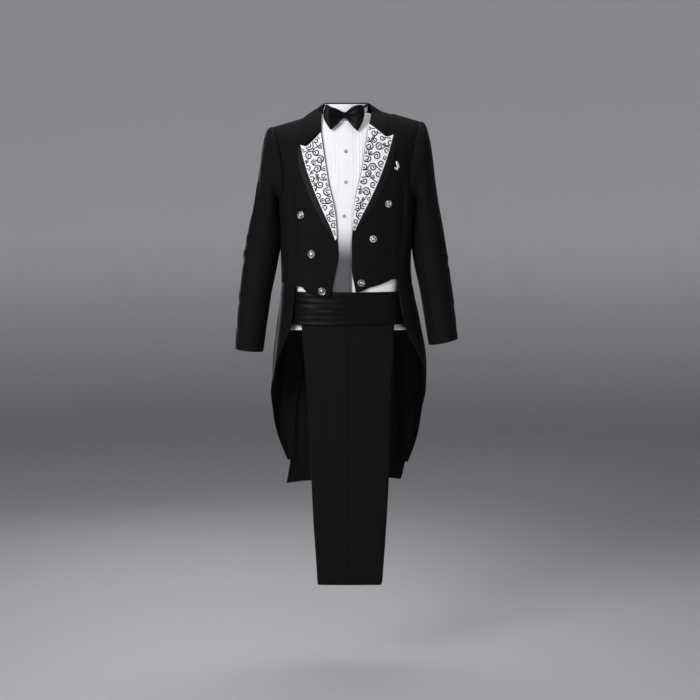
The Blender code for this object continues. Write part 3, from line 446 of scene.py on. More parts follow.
def turnEdges(mesh, depth, close):
    # the edges are turned in, as a seam allowance is, and reach under their neighbours to close the seam
    shell = readShell(mesh)
    shell.normal_update()
    rim = [edge for edge in shell.edges if edge.is_boundary]
    outward = {}
    for edge in rim:
        face = edge.link_faces[0]
        away = (edge.verts[0].co + edge.verts[1].co) / 2 - face.calc_center_median()
        along = (edge.verts[1].co - edge.verts[0].co).normalized()
        away = (away - along * away.dot(along) - face.normal * away.dot(face.normal)).normalized()
        for vertex in edge.verts:
            outward[vertex] = outward.get(vertex, Vector()) + away
    normals = {vertex: vertex.normal.copy() for vertex in outward}
    for down, out in ((edgeSet["bendDown"], edgeSet["bendOut"]), (1.0, close)):
        made = bmesh.ops.extrude_edge_only(shell, edges=rim)["geom"]
        fresh = [item for item in made if isinstance(item, bmesh.types.BMVert)]
        nextNormals, nextOutward = {}, {}
        for vertex in fresh:
            source = next(v for e in vertex.link_edges for v in e.verts if v in normals)
            nextNormals[vertex], nextOutward[vertex] = normals[source], outward[source]
            reach = out(vertex.co) if callable(out) else out
            vertex.co = vertex.co - normals[source] * depth * down + outward[source].normalized() * reach
        rim = [item for item in made if isinstance(item, bmesh.types.BMEdge) and item.is_boundary]
        normals, outward = nextNormals, nextOutward
    shell.to_mesh(mesh)
    shell.free()


def clothMap(mesh, along):
    # the piece's own map, in metres, from each point's place round the form and its height
    layer = mesh.uv_layers.new(name="cloth")
    points = readPoints(mesh)
    places = along(points)
    loops = np.empty(len(mesh.loops), dtype=np.int32)
    mesh.loops.foreach_get("vertex_index", loops)
    layer.data.foreach_set("uv", places[loops].ravel())


bodySet = {"depthShare": 1.5, "mapRadius": 0.17, "foldStep": 0.0030, "folds": 1.25, "join": 0.02,
           "wave": (0.08, 0.08, 0.11), "waveHeight": 0.0015, "calmShare": 0.5, "calmTo": (-0.05, 0.08),
           "sidePlace": 0.27, "sideWidth": 0.085}


def bodyTurn(points):
    return np.arctan2(points[:, 0], -points[:, 1] * bodySet["depthShare"])


def roundBody(points):
    return np.column_stack([bodyTurn(points) * bodySet["mapRadius"], points[:, 2]])


def flatFront(points):
    return points[:, [0, 2]]


paintedShadeSet = {"below": (-0.300, 0.110), "from": (-0.052, 0.010), "to": (0.020, 0.006)}


def paintedShadeMask(points):
    # painted shade: where the shirt's front falls in shade, below the bib, between the coat's fronts
    between = rise(points[:, 0], *paintedShadeSet["from"]) * fall(points[:, 0], *paintedShadeSet["to"])
    return fall(points[:, 2], *paintedShadeSet["below"]) * between * (points[:, 1] < 0)


def smoothPiece(piece, angle=50):
    pick(piece)
    bpy.ops.object.shade_smooth_by_angle(angle=math.radians(angle))


fabrics = {    # material slot and wall of each cloth
    "blackWool": ("black_wool", 0.0015), "trouserWool": ("trouser_wool", 0.0015),
    "blackSatin": ("black_satin", 0.0015), "darkSatin": ("black_satin", 0.0013),
    "whiteSatin": ("white_satin", 0.0013), "whiteCotton": ("white_cotton", 0.0011),
}


def pieceName(node):
    first, *words = node.split("_")
    side = f".{words.pop()}" if words and words[-1] in ("left", "right", "near", "far") else ""
    return first + "".join(word.title() for word in words) + side


def finishPiece(piece, node):
    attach(piece, "root")
    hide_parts(node)


def makeCloth(node, finish, shape=None, settle=None, along=roundBody, lining=None, inside=None, levels=3,
              turnIn=0.003, close=0.0012, pressed=0.0004, wall=None, name=None, skin=None):
    # shape moves the cloth along its normals, settle moves its points, along maps them
    slotName, usualWall = fabrics[finish]
    name, skin = name or pieceName(node), skin or outerSkin(node, inside)
    piece = meshPiece(name, skin, finish, lining or finish)
    for face in piece.data.polygons:
        face.material_index = 0
    applyModifier(piece, "SUBSURF", levels=levels, render_levels=levels,
                  boundary_smooth="PRESERVE_CORNERS")
    points, normals = readPoints(piece.data), readRows(piece.data.vertex_normals, "vector")
    move = -pressed * nearEdge(piece.data, points, edgeSet["pressReach"])
    if shape:
        move = move + shape(points)
    points = points + normals * move[:, None]
    writePoints(piece.data, settle(points) if settle else points)
    turnEdges(piece.data, turnIn, close)
    clothMap(piece.data, along)
    if finish == "whiteCotton":
        # the point attribute holds the painted shade mask for the cotton's colour
        thin = piece.data.attributes.new("thin", "FLOAT", "POINT")
        thin.data.foreach_set("value", paintedShadeMask(readPoints(piece.data)))
    applyModifier(piece, "SOLIDIFY", thickness=wall or usualWall, offset=-1.0, use_even_offset=False,
                  material_offset=1, material_offset_rim=0)
    smoothPiece(piece)
    finishPiece(piece, node)
    return piece


# where the cloth creases: each fold runs from (across, height) to (across, height), with its bow, width and
# depth, all in millimetres; across is measured round the body, from the middle of the front
bodyFolds = {
    "left": ((150, -190, 138, -420, 10, 12, -3.4), (188, -230, 160, -400, -6, 10, -1.4),
             (80, -130, 125, -330, 12, 18, -1.1), (60, -330, 150, -405, -6, 12, -0.9),
             (250, -300, 210, -440, 6, 12, -1.6), (330, -380, 470, -425, 8, 12, -1.4),
             (300, -180, 400, -330, -12, 20, -1.6), (470, -90, 360, -160, 10, 16, -1),
             (240, -520, 262, -830, 8, 18, -2.6), (330, -560, 335, -960, -10, 22, -2.8),
             (440, -520, 450, -900, 6, 20, -2)),
    "right": ((146, -185, 150, -430, -8, 12, -3.6), (180, -205, 172, -330, 8, 13, -1.6),
              (90, -120, 110, -300, -10, 20, -1.2), (75, -340, 160, -420, 6, 13, -1),
              (240, -290, 220, -450, -8, 13, -1.5), (340, -395, 480, -415, -6, 10, -1.6),
              (310, -200, 420, -310, 10, 22, -1.4), (460, -100, 380, -190, -8, 14, -1.1),
              (236, -540, 250, -860, -8, 20, -2.4), (345, -550, 330, -940, 8, 20, -3),
              (430, -540, 455, -880, -8, 18, -2.2)),
}
sleeveFolds = {
    "left": ((-100, -345, -20, -385, 6, 8, -2.6), (-85, -395, 15, -420, -8, 9, -3),
             (-95, -440, 0, -460, 6, 8, -2.4), (60, -360, 10, -440, 10, 10, -1.8),
             (40, -190, 75, -330, 10, 13, -2), (-50, -170, -80, -330, -8, 12, -2.2),
             (-70, -520, 20, -560, 6, 10, -1.6), (50, -560, -30, -610, 8, 10, -1.4)),
    "right": ((-95, -330, -10, -365, -6, 9, -2.8), (-90, -385, 10, -430, 8, 9, -3),
              (-100, -455, -15, -470, -6, 8, -2.2), (65, -370, 5, -430, -10, 10, -1.8),
              (50, -200, 65, -320, -10, 12, -2), (-40, -180, -75, -320, 8, 13, -2),
              (-60, -505, 30, -535, -6, 10, -1.8), (40, -580, -40, -620, -8, 10, -1.4)),
}
trouserFolds = {
    "near": ((-60, -700, -50, -1220, 6, 12, -0.9), (60, -640, 50, -1100, -6, 14, -1),
             (20, -900, 30, -1300, 4, 10, -0.6), (-100, -760, -30, -790, 4, 10, -0.7)),
    "far": ((-50, -680, -60, -1200, 6, 12, -1), (50, -700, 60, -1250, -6, 14, -0.8)),
}
bowFolds = ((5, 5, 34, 15, 2, 2.1, -1.6), (5, 1, 40, 1, -1.4, 2.6, -2),
            (5, -4.5, 28, -21, 1.4, 2.1, -1.5))


# how far the coat's side stands out, and how far the sleeve leans towards it, as height and distance
underArm = {
    "left": {"body": ((-0.78, 0.0), (-0.70, 0.003), (-0.62, 0.006), (-0.56, 0.008), (-0.50, 0.0070),
                      (-0.45, 0.0030), (-0.40, 0.0015), (-0.27, 0.0035), (-0.20, 0.0)),
             "inner": ((-0.66, 0.002), (-0.60, 0.004), (-0.52, 0.005), (-0.48, 0.006), (-0.43, 0.008),
                       (-0.40, 0.007), (-0.30, 0.0055), (-0.25, 0.0035), (-0.22, 0.0)),
             "outer": ((-0.60, 0.0), (-0.22, 0.0))},
    "right": {"body": ((-0.70, 0.0), (-0.62, 0.002), (-0.56, 0.0045), (-0.50, 0.0055), (-0.36, 0.0055),
                       (-0.27, 0.0035), (-0.20, 0.0)),
              "inner": ((-0.50, 0.0), (-0.43, 0.004), (-0.36, 0.005), (-0.30, 0.005), (-0.25, 0.0035),
                        (-0.22, 0.0)),
              "outer": ((-0.60, 0.0), (-0.52, 0.0035), (-0.44, 0.005), (-0.38, 0.007), (-0.30, 0.0045),
                        (-0.22, 0.0015), (-0.18, 0.0))},
}


def atHeight(points, rows):
    heights, values = zip(*rows)
    return np.interp(points[:, 2], heights, values)


def bodyMove(points):
    around = np.degrees(bodyTurn(points)) * bodySet["foldStep"]
    calm = bodySet["calmShare"]
    move = (unevenness(points, bodySet["wave"], bodySet["waveHeight"], 1)
            * (calm + (1 - calm) * fall(points[:, 2], *bodySet["calmTo"])))
    for sideName, sign in wearerSides.items():
        part = bodySet["folds"] * foldField(around * sign, points[:, 2], bodyFolds[sideName])
        part += (atHeight(points, underArm[sideName]["body"])
                 * np.exp(-((around * sign - bodySet["sidePlace"]) / bodySet["sideWidth"]) ** 2))
        move += part * smoothStep(around * sign / bodySet["join"])
    return move


# pairs are where a move starts or ends and the width over which it does so; rows are height and distance
hangSet = {
    "shoulder": {"rise": 0.0150, "from": (0.092, 0.045), "to": (0.238, 0.02), "ridge": 0.030, "slope": 0.30,
                 "aside": (0.13, 0.20), "reach": (0.055, 0.13), "margin": 0.004},
    "front": {"aside": 0.0065, "asideBelow": (-0.385, 0.06), "asideTo": (0.130, 0.08),
              "rise": 0.0080, "riseBelow": (-0.40, 0.06), "riseTo": (0.158, 0.03),
              "riseFrom": {"left": (0.045, 0.03), "right": (0.110, 0.015)}},
    "spread": {"from": (0.05, 0.08),
               "left": ((-1.05, -0.013), (-1.02, -0.001), (-0.985, 0.007), (-0.92, 0.004),
                        (-0.838, 0.001), (-0.78, 0.0)),
               "right": ((-1.06, 0.010), (-0.985, 0.008), (-0.92, 0.010), (-0.86, 0.012),
                         (-0.82, 0.009), (-0.75, 0.0))},
    "drop": {"below": (-0.78, 0.22), "left": 0.020, "right": 0.014},
    "lap": {"edge": 0.003, "behind": 0.06, "width": 0.07,
            "across": ((-1.05, 0.040), (-0.98, 0.036), (-0.85, 0.031), (-0.72, 0.026),
                       (-0.60, 0.018), (-0.534, 0.013), (-0.50, 0.0085), (-0.46, 0.0)),
            "inward": ((-0.50, 0.0062), (-0.485, 0.0045), (-0.455, 0.0))},
}


def coatSettle(points):
    # the coat hangs with its left shoulder high, its fronts pulled aside at the hem and its tails spread
    across, depth, up = points[:, 0], points[:, 1], points[:, 2]
    aside, made = np.abs(across), points.copy()
    shoulder, front, spread, drop, lap = hangSet.values()

    def bySide(left, right):
        return np.where(across > 0, left, right)

    ridge = shoulder["ridge"] - shoulder["slope"] * aside
    reach = np.interp(aside, shoulder["aside"], shoulder["reach"])
    lift = shoulder["rise"] * rise(across, *shoulder["from"]) * fall(across, *shoulder["to"])
    made[:, 2] += lift * smoothStep((up - ridge + reach + shoulder["margin"]) / reach)
    made[:, 0] -= (front["aside"] * fall(up, *front["asideBelow"]) * fall(aside, *front["asideTo"])
                   * (depth < 0))
    within = bySide(*(rise(aside, *front["riseFrom"][sideName]) for sideName in wearerSides))
    made[:, 2] += (front["rise"] * fall(up, *front["riseBelow"]) * within * fall(aside, *front["riseTo"])
                   * (depth < 0))
    wider = bySide(atHeight(points, spread["left"]), atHeight(points, spread["right"]))
    made[:, 0] += np.sign(across) * wider * rise(aside, *spread["from"])
    made[:, 2] -= bySide(drop["left"], drop["right"]) * fall(up, *drop["below"])
    # the right side laps inside the left one down the back vent
    beside = np.where((across < lap["edge"]) & (depth > lap["behind"]),
                      smoothStep(1 - aside / lap["width"]), 0.0)
    made[:, 0] += beside * atHeight(points, lap["across"])
    made[:, 1] -= beside * atHeight(points, lap["inward"])
    return made


lapelLean = {    # the lapel's two edges and how far it slides, by height
    "inner": ((-0.3445, 0.0225), (-0.3035, 0.0240), (-0.2515, 0.0310), (-0.1905, 0.0455), (-0.1175, 0.0570),
              (-0.0515, 0.0670)),
    "outer": ((-0.3485, 0.0270), (-0.3195, 0.0400), (-0.2675, 0.0670), (-0.2015, 0.0965), (-0.1335, 0.1200),
              (-0.0845, 0.1340)),
    "slide": ((-0.350, 0.0), (-0.315, 0.004), (-0.260, 0.007), (-0.200, 0.0080), (-0.110, 0.0095),
              (-0.085, 0.0115)),
    "middle": -0.004, "past": 1.1,
    "wave": (0.03, 0.03, 0.05), "waveHeight": 0.0003,
}


def lapelSettle(sideName):
    # the right lapel is the narrower one; it slides over the coat's front and keeps its height above it
    def move(points):
        made = coatSettle(points)
        if sideName == "left":
            return made
        tree = meshTree(bpy.data.objects[f"coatFront.{sideName}"])
        aside = lapelLean["middle"] - made[:, 0]
        inner, outer = atHeight(made, lapelLean["inner"]), atHeight(made, lapelLean["outer"])
        share = np.clip((aside - inner) / (outer - inner), 0.0, lapelLean["past"])
        for place, slide in zip(made, atHeight(made, lapelLean["slide"]) * share):
            before, after = (tree.ray_cast(Vector((x, -1.0, place[2])), Vector((0, 1, 0)))[0]
                             for x in (place[0], place[0] + slide))
            place[0] += slide
            if before is not None and after is not None:
                place[1] += after.y - before.y
        return made
    return move


def lapelMove(points):
    return bodyMove(points) + unevenness(points, lapelLean["wave"], lapelLean["waveHeight"], 3)


sleeveSet = {"mapRadius": 0.055, "calmTo": (-0.120, 0.06), "folds": 1.2, "wave": (0.05, 0.05, 0.09),
             "waveHeight": 0.0018, "innerFrom": (0.10, 0.05), "outerTo": (0.075, 0.05)}


def sleevePlace(points, sign):
    across = sign * points[:, 0] - np.interp(points[:, 2], sleeveLine["height"], sleeveLine["across"])
    depth = points[:, 1] - np.interp(points[:, 2], sleeveLine["height"], sleeveLine["depth"])
    return np.arctan2(depth, across) * sleeveSet["mapRadius"]


def sleeveMove(sideName):
    sign = wearerSides[sideName]

    def move(points):
        around = sleevePlace(points, sign)
        inner, outer = (atHeight(points, underArm[sideName][part]) for part in ("inner", "outer"))
        lean = (inner * rise(np.abs(around), *sleeveSet["innerFrom"])
                + outer * fall(np.abs(around), *sleeveSet["outerTo"]))
        return (lean + sleeveSet["folds"] * foldField(around, points[:, 2], sleeveFolds[sideName])
                + unevenness(points, sleeveSet["wave"], sleeveSet["waveHeight"], 5 + sign)
                ) * fall(points[:, 2], *sleeveSet["calmTo"])
    return move


reachSet = {"seam": 0.0012, "armhole": 0.0040, "sleeveHead": 0.0065, "cuff": 0.0002, "headAbove": -0.285,
            "cuffBelow": -0.600, "holeAside": 0.172, "holeHeights": (-0.250, 0.010)}


def armholeReach(place):
    # the coat's own edge reaches under the sleeve's head
    low, high = reachSet["holeHeights"]
    return reachSet["armhole" if abs(place.x) > reachSet["holeAside"] and low < place.z < high else "seam"]


def sleeveReach(place):
    # the sleeve's head reaches well under the armhole's edge, and its cuff hardly at all
    if place.z > reachSet["headAbove"]:
        return reachSet["sleeveHead"]
    return reachSet["seam" if place.z > reachSet["cuffBelow"] else "cuff"]


def sleeveMap(sign):
    return lambda points: np.column_stack([sleevePlace(points, sign), points[:, 2]])


shirtSet = {
    "tuckPitch": 0.0095, "tuckRaise": 0.0007, "tuckCrest": 0.86, "bibEdge": 0.125, "bibFade": 0.01,
    "placketHalf": 0.0175, "placketFade": 0.002, "frontFrom": (0.02, 0.02),
    "wave": (0.03, 0.05, 0.10), "waveHeight": 0.0008,
    "full": ((-0.530, 0.0), (-0.515, 0.006), (-0.500, 0.0125), (-0.485, 0.0125), (-0.470, 0.0105),
             (-0.450, 0.004), (-0.430, 0.0)),
    "fullFront": -0.02, "fullTo": (0.150, 0.03), "hemRise": 0.007, "hemBelow": (-0.575, 0.03),
    "stitch": 0.0135, "stitchWidth": 0.0012, "stitchDepth": 0.0004, "rowHalf": 0.02,
    "placketWave": (0.03, 0.05, 0.08), "placketWaveHeight": 0.0006,
    "bandRise": ((-0.590, 0.004), (-0.504, 0.010)),
}


def shirtFullness(points):
    # the shirt's front is full just above the cummerbund
    full = atHeight(points, shirtSet["full"]) * (points[:, 1] < shirtSet["fullFront"])
    return full * fall(np.abs(points[:, 0]), *shirtSet["fullTo"])


def shirtSettle(points):
    made = points.copy()
    made[:, 2] += shirtSet["hemRise"] * fall(points[:, 2], *shirtSet["hemBelow"])
    return made


def bandSettle(points):
    made = points.copy()
    made[:, 2] += atHeight(points, shirtSet["bandRise"])
    return made


def shirtMove(points):
    # rows of narrow tucks beside the placket, each one lying over the next
    aside = np.abs(points[:, 0]) - shirtSet["placketHalf"]
    place = (aside / shirtSet["tuckPitch"]) % 1.0
    crest = shirtSet["tuckCrest"]
    tuck = shirtSet["tuckRaise"] * np.where(place < crest, place / crest, (1 - place) / (1 - crest))
    fade = (rise(-points[:, 1], *shirtSet["frontFrom"]) * smoothStep(aside / shirtSet["placketFade"])
            * fall(np.abs(points[:, 0]), shirtSet["bibEdge"], shirtSet["bibFade"]))
    soft = unevenness(points, shirtSet["wave"], shirtSet["waveHeight"], 7)
    return tuck * fade + soft + shirtFullness(points)


def placketMove(points):
    # a stitched groove along each edge
    middle = np.array([np.mean(points[np.abs(points[:, 2] - z) < shirtSet["rowHalf"], 0])
                       for z in points[:, 2]])
    aside = np.abs(points[:, 0] - middle)
    groove = shirtSet["stitchDepth"] * np.exp(-((aside - shirtSet["stitch"]) / shirtSet["stitchWidth"]) ** 2)
    soft = unevenness(points, shirtSet["placketWave"], shirtSet["placketWaveHeight"], 7)
    return soft - groove + shirtFullness(points)


bowSet = {
    "middle": np.mean(nodeBox("bow_knot"), axis=0) + np.array((0.0, 0.0, -0.0052)),
    "outline": {    # the folded outer edge of each wing, from its upper corner to its lower tip
        "left": ((0.0500, 0.0290), (0.0550, 0.0215), (0.0572, 0.0085), (0.0560, -0.0050), (0.0512, -0.0180),
                 (0.0450, -0.0310), (0.0372, -0.0435)),
        "right": ((0.0545, 0.0235), (0.0596, 0.0150), (0.0602, 0.0050), (0.0580, -0.0080), (0.0525, -0.0200),
                  (0.0460, -0.0305), (0.0388, -0.0405))},
    "steps": (0.0, 0.16, 0.34, 0.54, 0.74, 0.90, 1.0, 1.10, 1.28, 1.50, 1.75, 2.0),    # 1 is the fold
    "inner": 0.0045, "innerHalf": 0.0082, "flare": (2.6, 1.4), "gap": 0.0016,
    "puffFront": 0.0085, "puffBack": 0.0050, "puffChange": (1.15, 0.35), "puffReach": 1.02,
    "lean": (0.004, 0.012), "twist": 0.0014, "wave": (0.02, 0.02, 0.02), "waveHeight": 0.0008,
}


def wingSkin(sideName):
    # one loop of the bow: out from the knot in front, round the fold and back behind
    sign = wearerSides[sideName]
    outline = bowSet["outline"][sideName]
    (flare, flareChange), (full, fullChange) = bowSet["flare"], bowSet["puffChange"]
    lean, leanChange = bowSet["lean"]
    skin = bmesh.new()
    rows = []
    for count, (foldAside, foldUp) in enumerate(outline):
        v = count / (len(outline) - 1)
        innerUp = bowSet["innerHalf"] * (1 - 2 * v)
        row = []
        for s in bowSet["steps"]:
            reach = 1 - abs(1 - s)
            share = math.sin(reach * math.pi / 2)
            aside = bowSet["inner"] + (foldAside - bowSet["inner"]) * share
            up = innerUp + (foldUp - innerUp) * (1 - (1 - share) ** (flare - flareChange * v))
            face = -1 if s < 1 else 1 if s > 1 else 0
            puff = (bowSet["puffFront" if s < 1 else "puffBack"] * (full - fullChange * v)
                    * math.sin(math.pi * min(1.0, reach * bowSet["puffReach"])))
            depth = face * (bowSet["gap"] + puff)
            depth += (lean - leanChange * v + bowSet["twist"] * math.sin(2 * math.pi * v)) * reach
            row.append(skin.verts.new(tuple(bowSet["middle"] + (sign * aside, depth, up))))
        rows.append(row)
    for upper, lower in zip(rows, rows[1:]):
        for c in range(len(upper) - 1):
            corners = (upper[c], upper[c + 1], lower[c + 1], lower[c])
            skin.faces.new(corners if sign < 0 else corners[::-1])
    return skin


def bowMove(sign):
    def move(points):
        aside, _, up = (points - bowSet["middle"]).T
        return (foldField(sign * aside, up, bowFolds)
                + unevenness(points, bowSet["wave"], bowSet["waveHeight"], 11 + sign))
    return move


bandWaves = (((0.055, 0.05, 0.012), 0.0012, 13), ((0.02, 0.02, 0.008), 0.0004, 14))
trouserWaves = {"near": ((0.05, 0.05, 0.16), 0.0009, 17), "far": ((0.05, 0.05, 0.16), 0.0009, 19)}


def bandMove(points):
    # pleats that wander a little along the band
    return sum(unevenness(points, *wave) for wave in bandWaves)


def trouserMove(layerName):
    def move(points):
        return (foldField(points[:, 0], points[:, 2], trouserFolds[layerName])
                + unevenness(points, *trouserWaves[layerName]))
    return move


for sideName, sign in wearerSides.items():
    for panel in ("front", "side", "back", "skirt"):
        makeCloth(f"coat_{panel}_{sideName}", "blackWool", bodyMove, coatSettle, lining="lining",
                  close=armholeReach)
    for node, finish, pressed in (("lapel", "whiteSatin", 0.0), ("lapel_border", "darkSatin", 0.0002)):
        makeCloth(f"{node}_{sideName}", finish, lapelMove, lapelSettle(sideName), along=flatFront,
                  turnIn=0.0015, close=0.0003, pressed=pressed)
    for panel, inside in (("top", "own"), ("under", "sleeve")):
        makeCloth(f"sleeve_{panel}_{sideName}", "blackWool", sleeveMove(sideName), coatSettle,
                  along=sleeveMap(sign), lining="lining", inside=inside, turnIn=0.005, close=sleeveReach)
    makeCloth(f"shirt_front_{sideName}", "whiteCotton", shirtMove, shirtSettle, pressed=0.0)
    makeCloth(f"shirt_sleeve_{sideName}", "whiteCotton", along=sleeveMap(sign), inside="own", levels=2)
    makeCloth(f"bow_wing_{sideName}", "blackSatin", bowMove(sign), along=flatFront, wall=0.0012,
              turnIn=0.0008, close=0.0003, pressed=0.0002, skin=wingSkin(sideName))
makeCloth("coat_collar", "blackWool", settle=coatSettle, turnIn=0.0018, close=0.0003, pressed=0.0002)
makeCloth("shirt_back", "whiteCotton", settle=shirtSettle, levels=2)
makeCloth("shirt_placket", "whiteCotton", placketMove, along=flatFront, turnIn=0.0012, close=0.0003,
          pressed=0.0003)
makeCloth("shirt_collar", "whiteCotton", turnIn=0.0012, close=0.0003)
makeCloth("bow_strap", "blackSatin", levels=2, wall=0.0010, turnIn=0.0006, close=0.0002)
makeCloth("cummerbund", "blackSatin", bandMove, bandSettle, pressed=0.0, name="cummerbundFront")
makeCloth("cummerbund_strap", "blackSatin", bandMove, bandSettle, levels=2)
for layerName in ("near", "far"):
    for partName in ("front", "back"):
        makeCloth(f"trouser_{partName}_{layerName}", "trouserWool", trouserMove(layerName),
                  along=flatFront, inside="own", turnIn=0.002, close=0.0006)
makeCloth("trouser_waistband", "trouserWool", levels=2, turnIn=0.002, close=0.0006)


# scrolls on the lapels: curls of several sizes, packed on the satin and joined by stems
scrollSet = {
    "radii": (0.0108, 0.0096, 0.0084, 0.0072, 0.0060, 0.0048), "tries": 600, "gap": 0.0003,
    "facing": -0.25, "marks": 12, "markShare": 0.9, "marksInside": 8,
    "turns": 1.35, "wound": 0.80, "winding": 0.85, "otherWay": 0.7, "stemReach": 0.034, "stemSteps": 9,
    "stemPull": 0.5, "stemWidth": 0.55, "steps": 16, "stepsEach": 1000,
    "width": 0.0046, "smallWidth": 0.50, "taper": 0.25, "bulb": (1.05, 1.25, 0.8),
    "profile": ((-0.5, -0.0002), (-0.22, 0.0004), (0.22, 0.0004), (0.5, -0.0002)), "seed": 23,
}


def frontPlace(tree, x, z):
    place, normal = tree.ray_cast(Vector((x, -0.5, z)), Vector((0, 1, 0)))[:2]
    if place is None or normal.y > scrollSet["facing"]:
        return None
    return place, normal


def packCircles(tree, low, high, chance):
    circles = []
    for radius in scrollSet["radii"]:
        for _ in range(scrollSet["tries"]):
            x, z = chance.uniform(low[0], high[0]), chance.uniform(low[2], high[2])
            if any(math.dist((x, z), other[:2]) < radius + other[2] + scrollSet["gap"] for other in circles):
                continue
            if not frontPlace(tree, x, z):
                continue
            reach, marks = scrollSet["markShare"] * radius, scrollSet["marks"]
            turns = [2 * math.pi * k / marks for k in range(marks)]
            inside = sum(1 for a in turns
                         if frontPlace(tree, x + reach * math.cos(a), z + reach * math.sin(a)))
            if inside >= scrollSet["marksInside"]:
                circles.append((x, z, radius))
    return circles


def curlPoint(circle, start, way, t):
    angle = start + way * 2 * math.pi * scrollSet["turns"] * t
    reach = circle[2] * (1 - scrollSet["wound"] * t ** scrollSet["winding"])
    return circle[0] + reach * math.cos(angle), circle[1] + reach * math.sin(angle)


def scrollPaths(circles, chance):
    paths, placed = [], []
    for circle in sorted(circles, key=lambda c: -c[1]):
        near = min(placed, key=lambda p: math.dist(circle[:2], p[0][:2]) - p[0][2], default=None)
        way = chance.choice((-1, 1))
        heading = chance.uniform(0, 2 * math.pi)
        if near:
            parent, parentStart, parentWay = near
            way = -parentWay if chance.random() < scrollSet["otherWay"] else parentWay
            heading = math.atan2(circle[1] - parent[1], circle[0] - parent[0])
        start = heading - way * math.pi / 2
        stem = []
        if near and math.dist(circle[:2], parent[:2]) < scrollSet["stemReach"]:
            # the stem leaves the parent curl and meets this one along both of their turns
            leave = (parentWay * (heading - parentWay * math.pi / 2 - parentStart)) % (2 * math.pi)
            first = curlPoint(parent, parentStart, parentWay, leave / (2 * math.pi * scrollSet["turns"]))
            last = curlPoint(circle, start, way, 0)
            pull = scrollSet["stemPull"] * math.dist(first, last)
            ahead = (math.cos(heading) * pull, math.sin(heading) * pull)
            for k in range(scrollSet["stemSteps"]):
                t = k / scrollSet["stemSteps"]
                a, b, c, d = (1 - t) ** 3, 3 * t * (1 - t) ** 2, 3 * t * t * (1 - t), t ** 3
                stem.append(tuple(a * first[i] + b * (first[i] + ahead[i]) + c * (last[i] - ahead[i])
                                  + d * last[i] for i in (0, 1)))
        steps = scrollSet["steps"] + int(circle[2] * scrollSet["stepsEach"])
        curl = [curlPoint(circle, start, way, k / steps) for k in range(steps + 1)]
        small, thin = scrollSet["smallWidth"], scrollSet["stemWidth"]
        width = scrollSet["width"] * (small + (1 - small) * circle[2] / scrollSet["radii"][0])
        widths = [width * (thin + (1 - thin) * k / len(stem)) for k in range(len(stem))]
        widths += [width * (1.0 - scrollSet["taper"] * k / steps) for k in range(steps + 1)]
        widths[-3:] = [width * share for share in scrollSet["bulb"]]
        paths.append((stem + curl, widths))
        placed.append((circle, start, way))
    return paths


def makeScroll(sideName):
    lapel = bpy.data.objects[f"lapel.{sideName}"]
    tree = meshTree(lapel)
    chance = random.Random(f"{scrollSet['seed']} {sideName}")
    points = readPoints(lapel.data)
    circles = packCircles(tree, points.min(axis=0), points.max(axis=0), chance)
    shell = bmesh.new()
    for path, widths in scrollPaths(circles, chance):    # a low ridge along each path
        rows = []
        for k, (x, z) in enumerate(path):
            before, after = path[max(0, k - 1)], path[min(len(path) - 1, k + 1)]
            run = Vector((after[0] - before[0], after[1] - before[1])).normalized()
            row = []
            for share, lift in scrollSet["profile"]:
                found = frontPlace(tree, x + run.y * widths[k] * share, z - run.x * widths[k] * share)
                if found:
                    row.append(found[0] + found[1] * lift)
            rows.append(row if len(row) == 4 else None)
        runs = [[]]
        for row in rows:
            if row:
                runs[-1].append([shell.verts.new(place) for place in row])
            elif runs[-1]:
                runs.append([])
        for run in runs:
            if len(run) < 2:
                continue
            shell.faces.new(run[0])
            shell.faces.new(run[-1])
            for last, made in zip(run, run[1:]):
                for c in range(4):
                    shell.faces.new((last[c], last[(c + 1) % 4], made[(c + 1) % 4], made[c]))
    bmesh.ops.delete(shell, geom=[vertex for vertex in shell.verts if not vertex.link_faces], context="VERTS")
    bmesh.ops.recalc_face_normals(shell, faces=shell.faces)
    piece = meshPiece(f"lapelScroll.{sideName}", shell, "scroll")
    smoothPiece(piece, 60)
    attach(piece, "root")
    print("scrolls on the", sideName, "lapel:", len(circles), "curls,", len(piece.data.polygons),
          "faces")


for sideName in wearerSides:
    makeScroll(sideName)

# small hard pieces


def selectFaces(piece, test):
    # in edit mode: picks the faces whose middle and normal pass the test
    shell = bmesh.from_edit_mesh(piece.data)
    for face in shell.faces:
        face.select_set(False)
    for face in shell.faces:
        if test(face.calc_center_median(), face.normal):
            face.select_set(True)
    bmesh.update_edit_mesh(piece.data)


def openPiece():
    piece = bpy.context.object
    bpy.ops.object.mode_set(mode="EDIT")
    bpy.ops.mesh.select_mode(type="FACE")
    return piece


def closePiece(piece, material):
    bpy.ops.object.mode_set(mode="OBJECT")
    bpy.ops.object.transform_apply(location=True, rotation=True, scale=True)
    piece.data.materials.clear()
    piece.data.materials.append(materials[material])
    return piece


def startCylinder(sides, radius, depth, place, **turn):
    pick()
    bpy.ops.mesh.primitive_cylinder_add(vertices=sides, radius=radius, depth=depth, location=place, **turn)
    return openPiece()


def pushFaces(lift, inset=0.0):
    if inset:
        bpy.ops.mesh.inset(thickness=inset)
    bpy.ops.mesh.extrude_region_move(TRANSFORM_OT_translate={"value": (0, 0, lift)})


def facesUp(middle, normal):
    return normal.z > 0.9


def facesDown(middle, normal):
    return normal.z < -0.9


def resizeFaces(width, length, height, place=(0, 0, 0)):
    bpy.ops.transform.resize(value=(width, length, height), center_override=place)


def cutBelow(height):
    bpy.ops.mesh.bisect(plane_co=(0, 0, height), plane_no=(0, 0, 1), clear_inner=True, use_fill=True)


def joinPieces(pieces, name):
    pick(*pieces)
    bpy.ops.object.join()
    pieces[0].name = name
    pieces[0].data.name = name
    return pieces[0]


def copyPiece(piece, matrix, name="copy"):
    copy = linkPiece(name, piece.data.copy())
    copy.data.transform(matrix)
    return copy


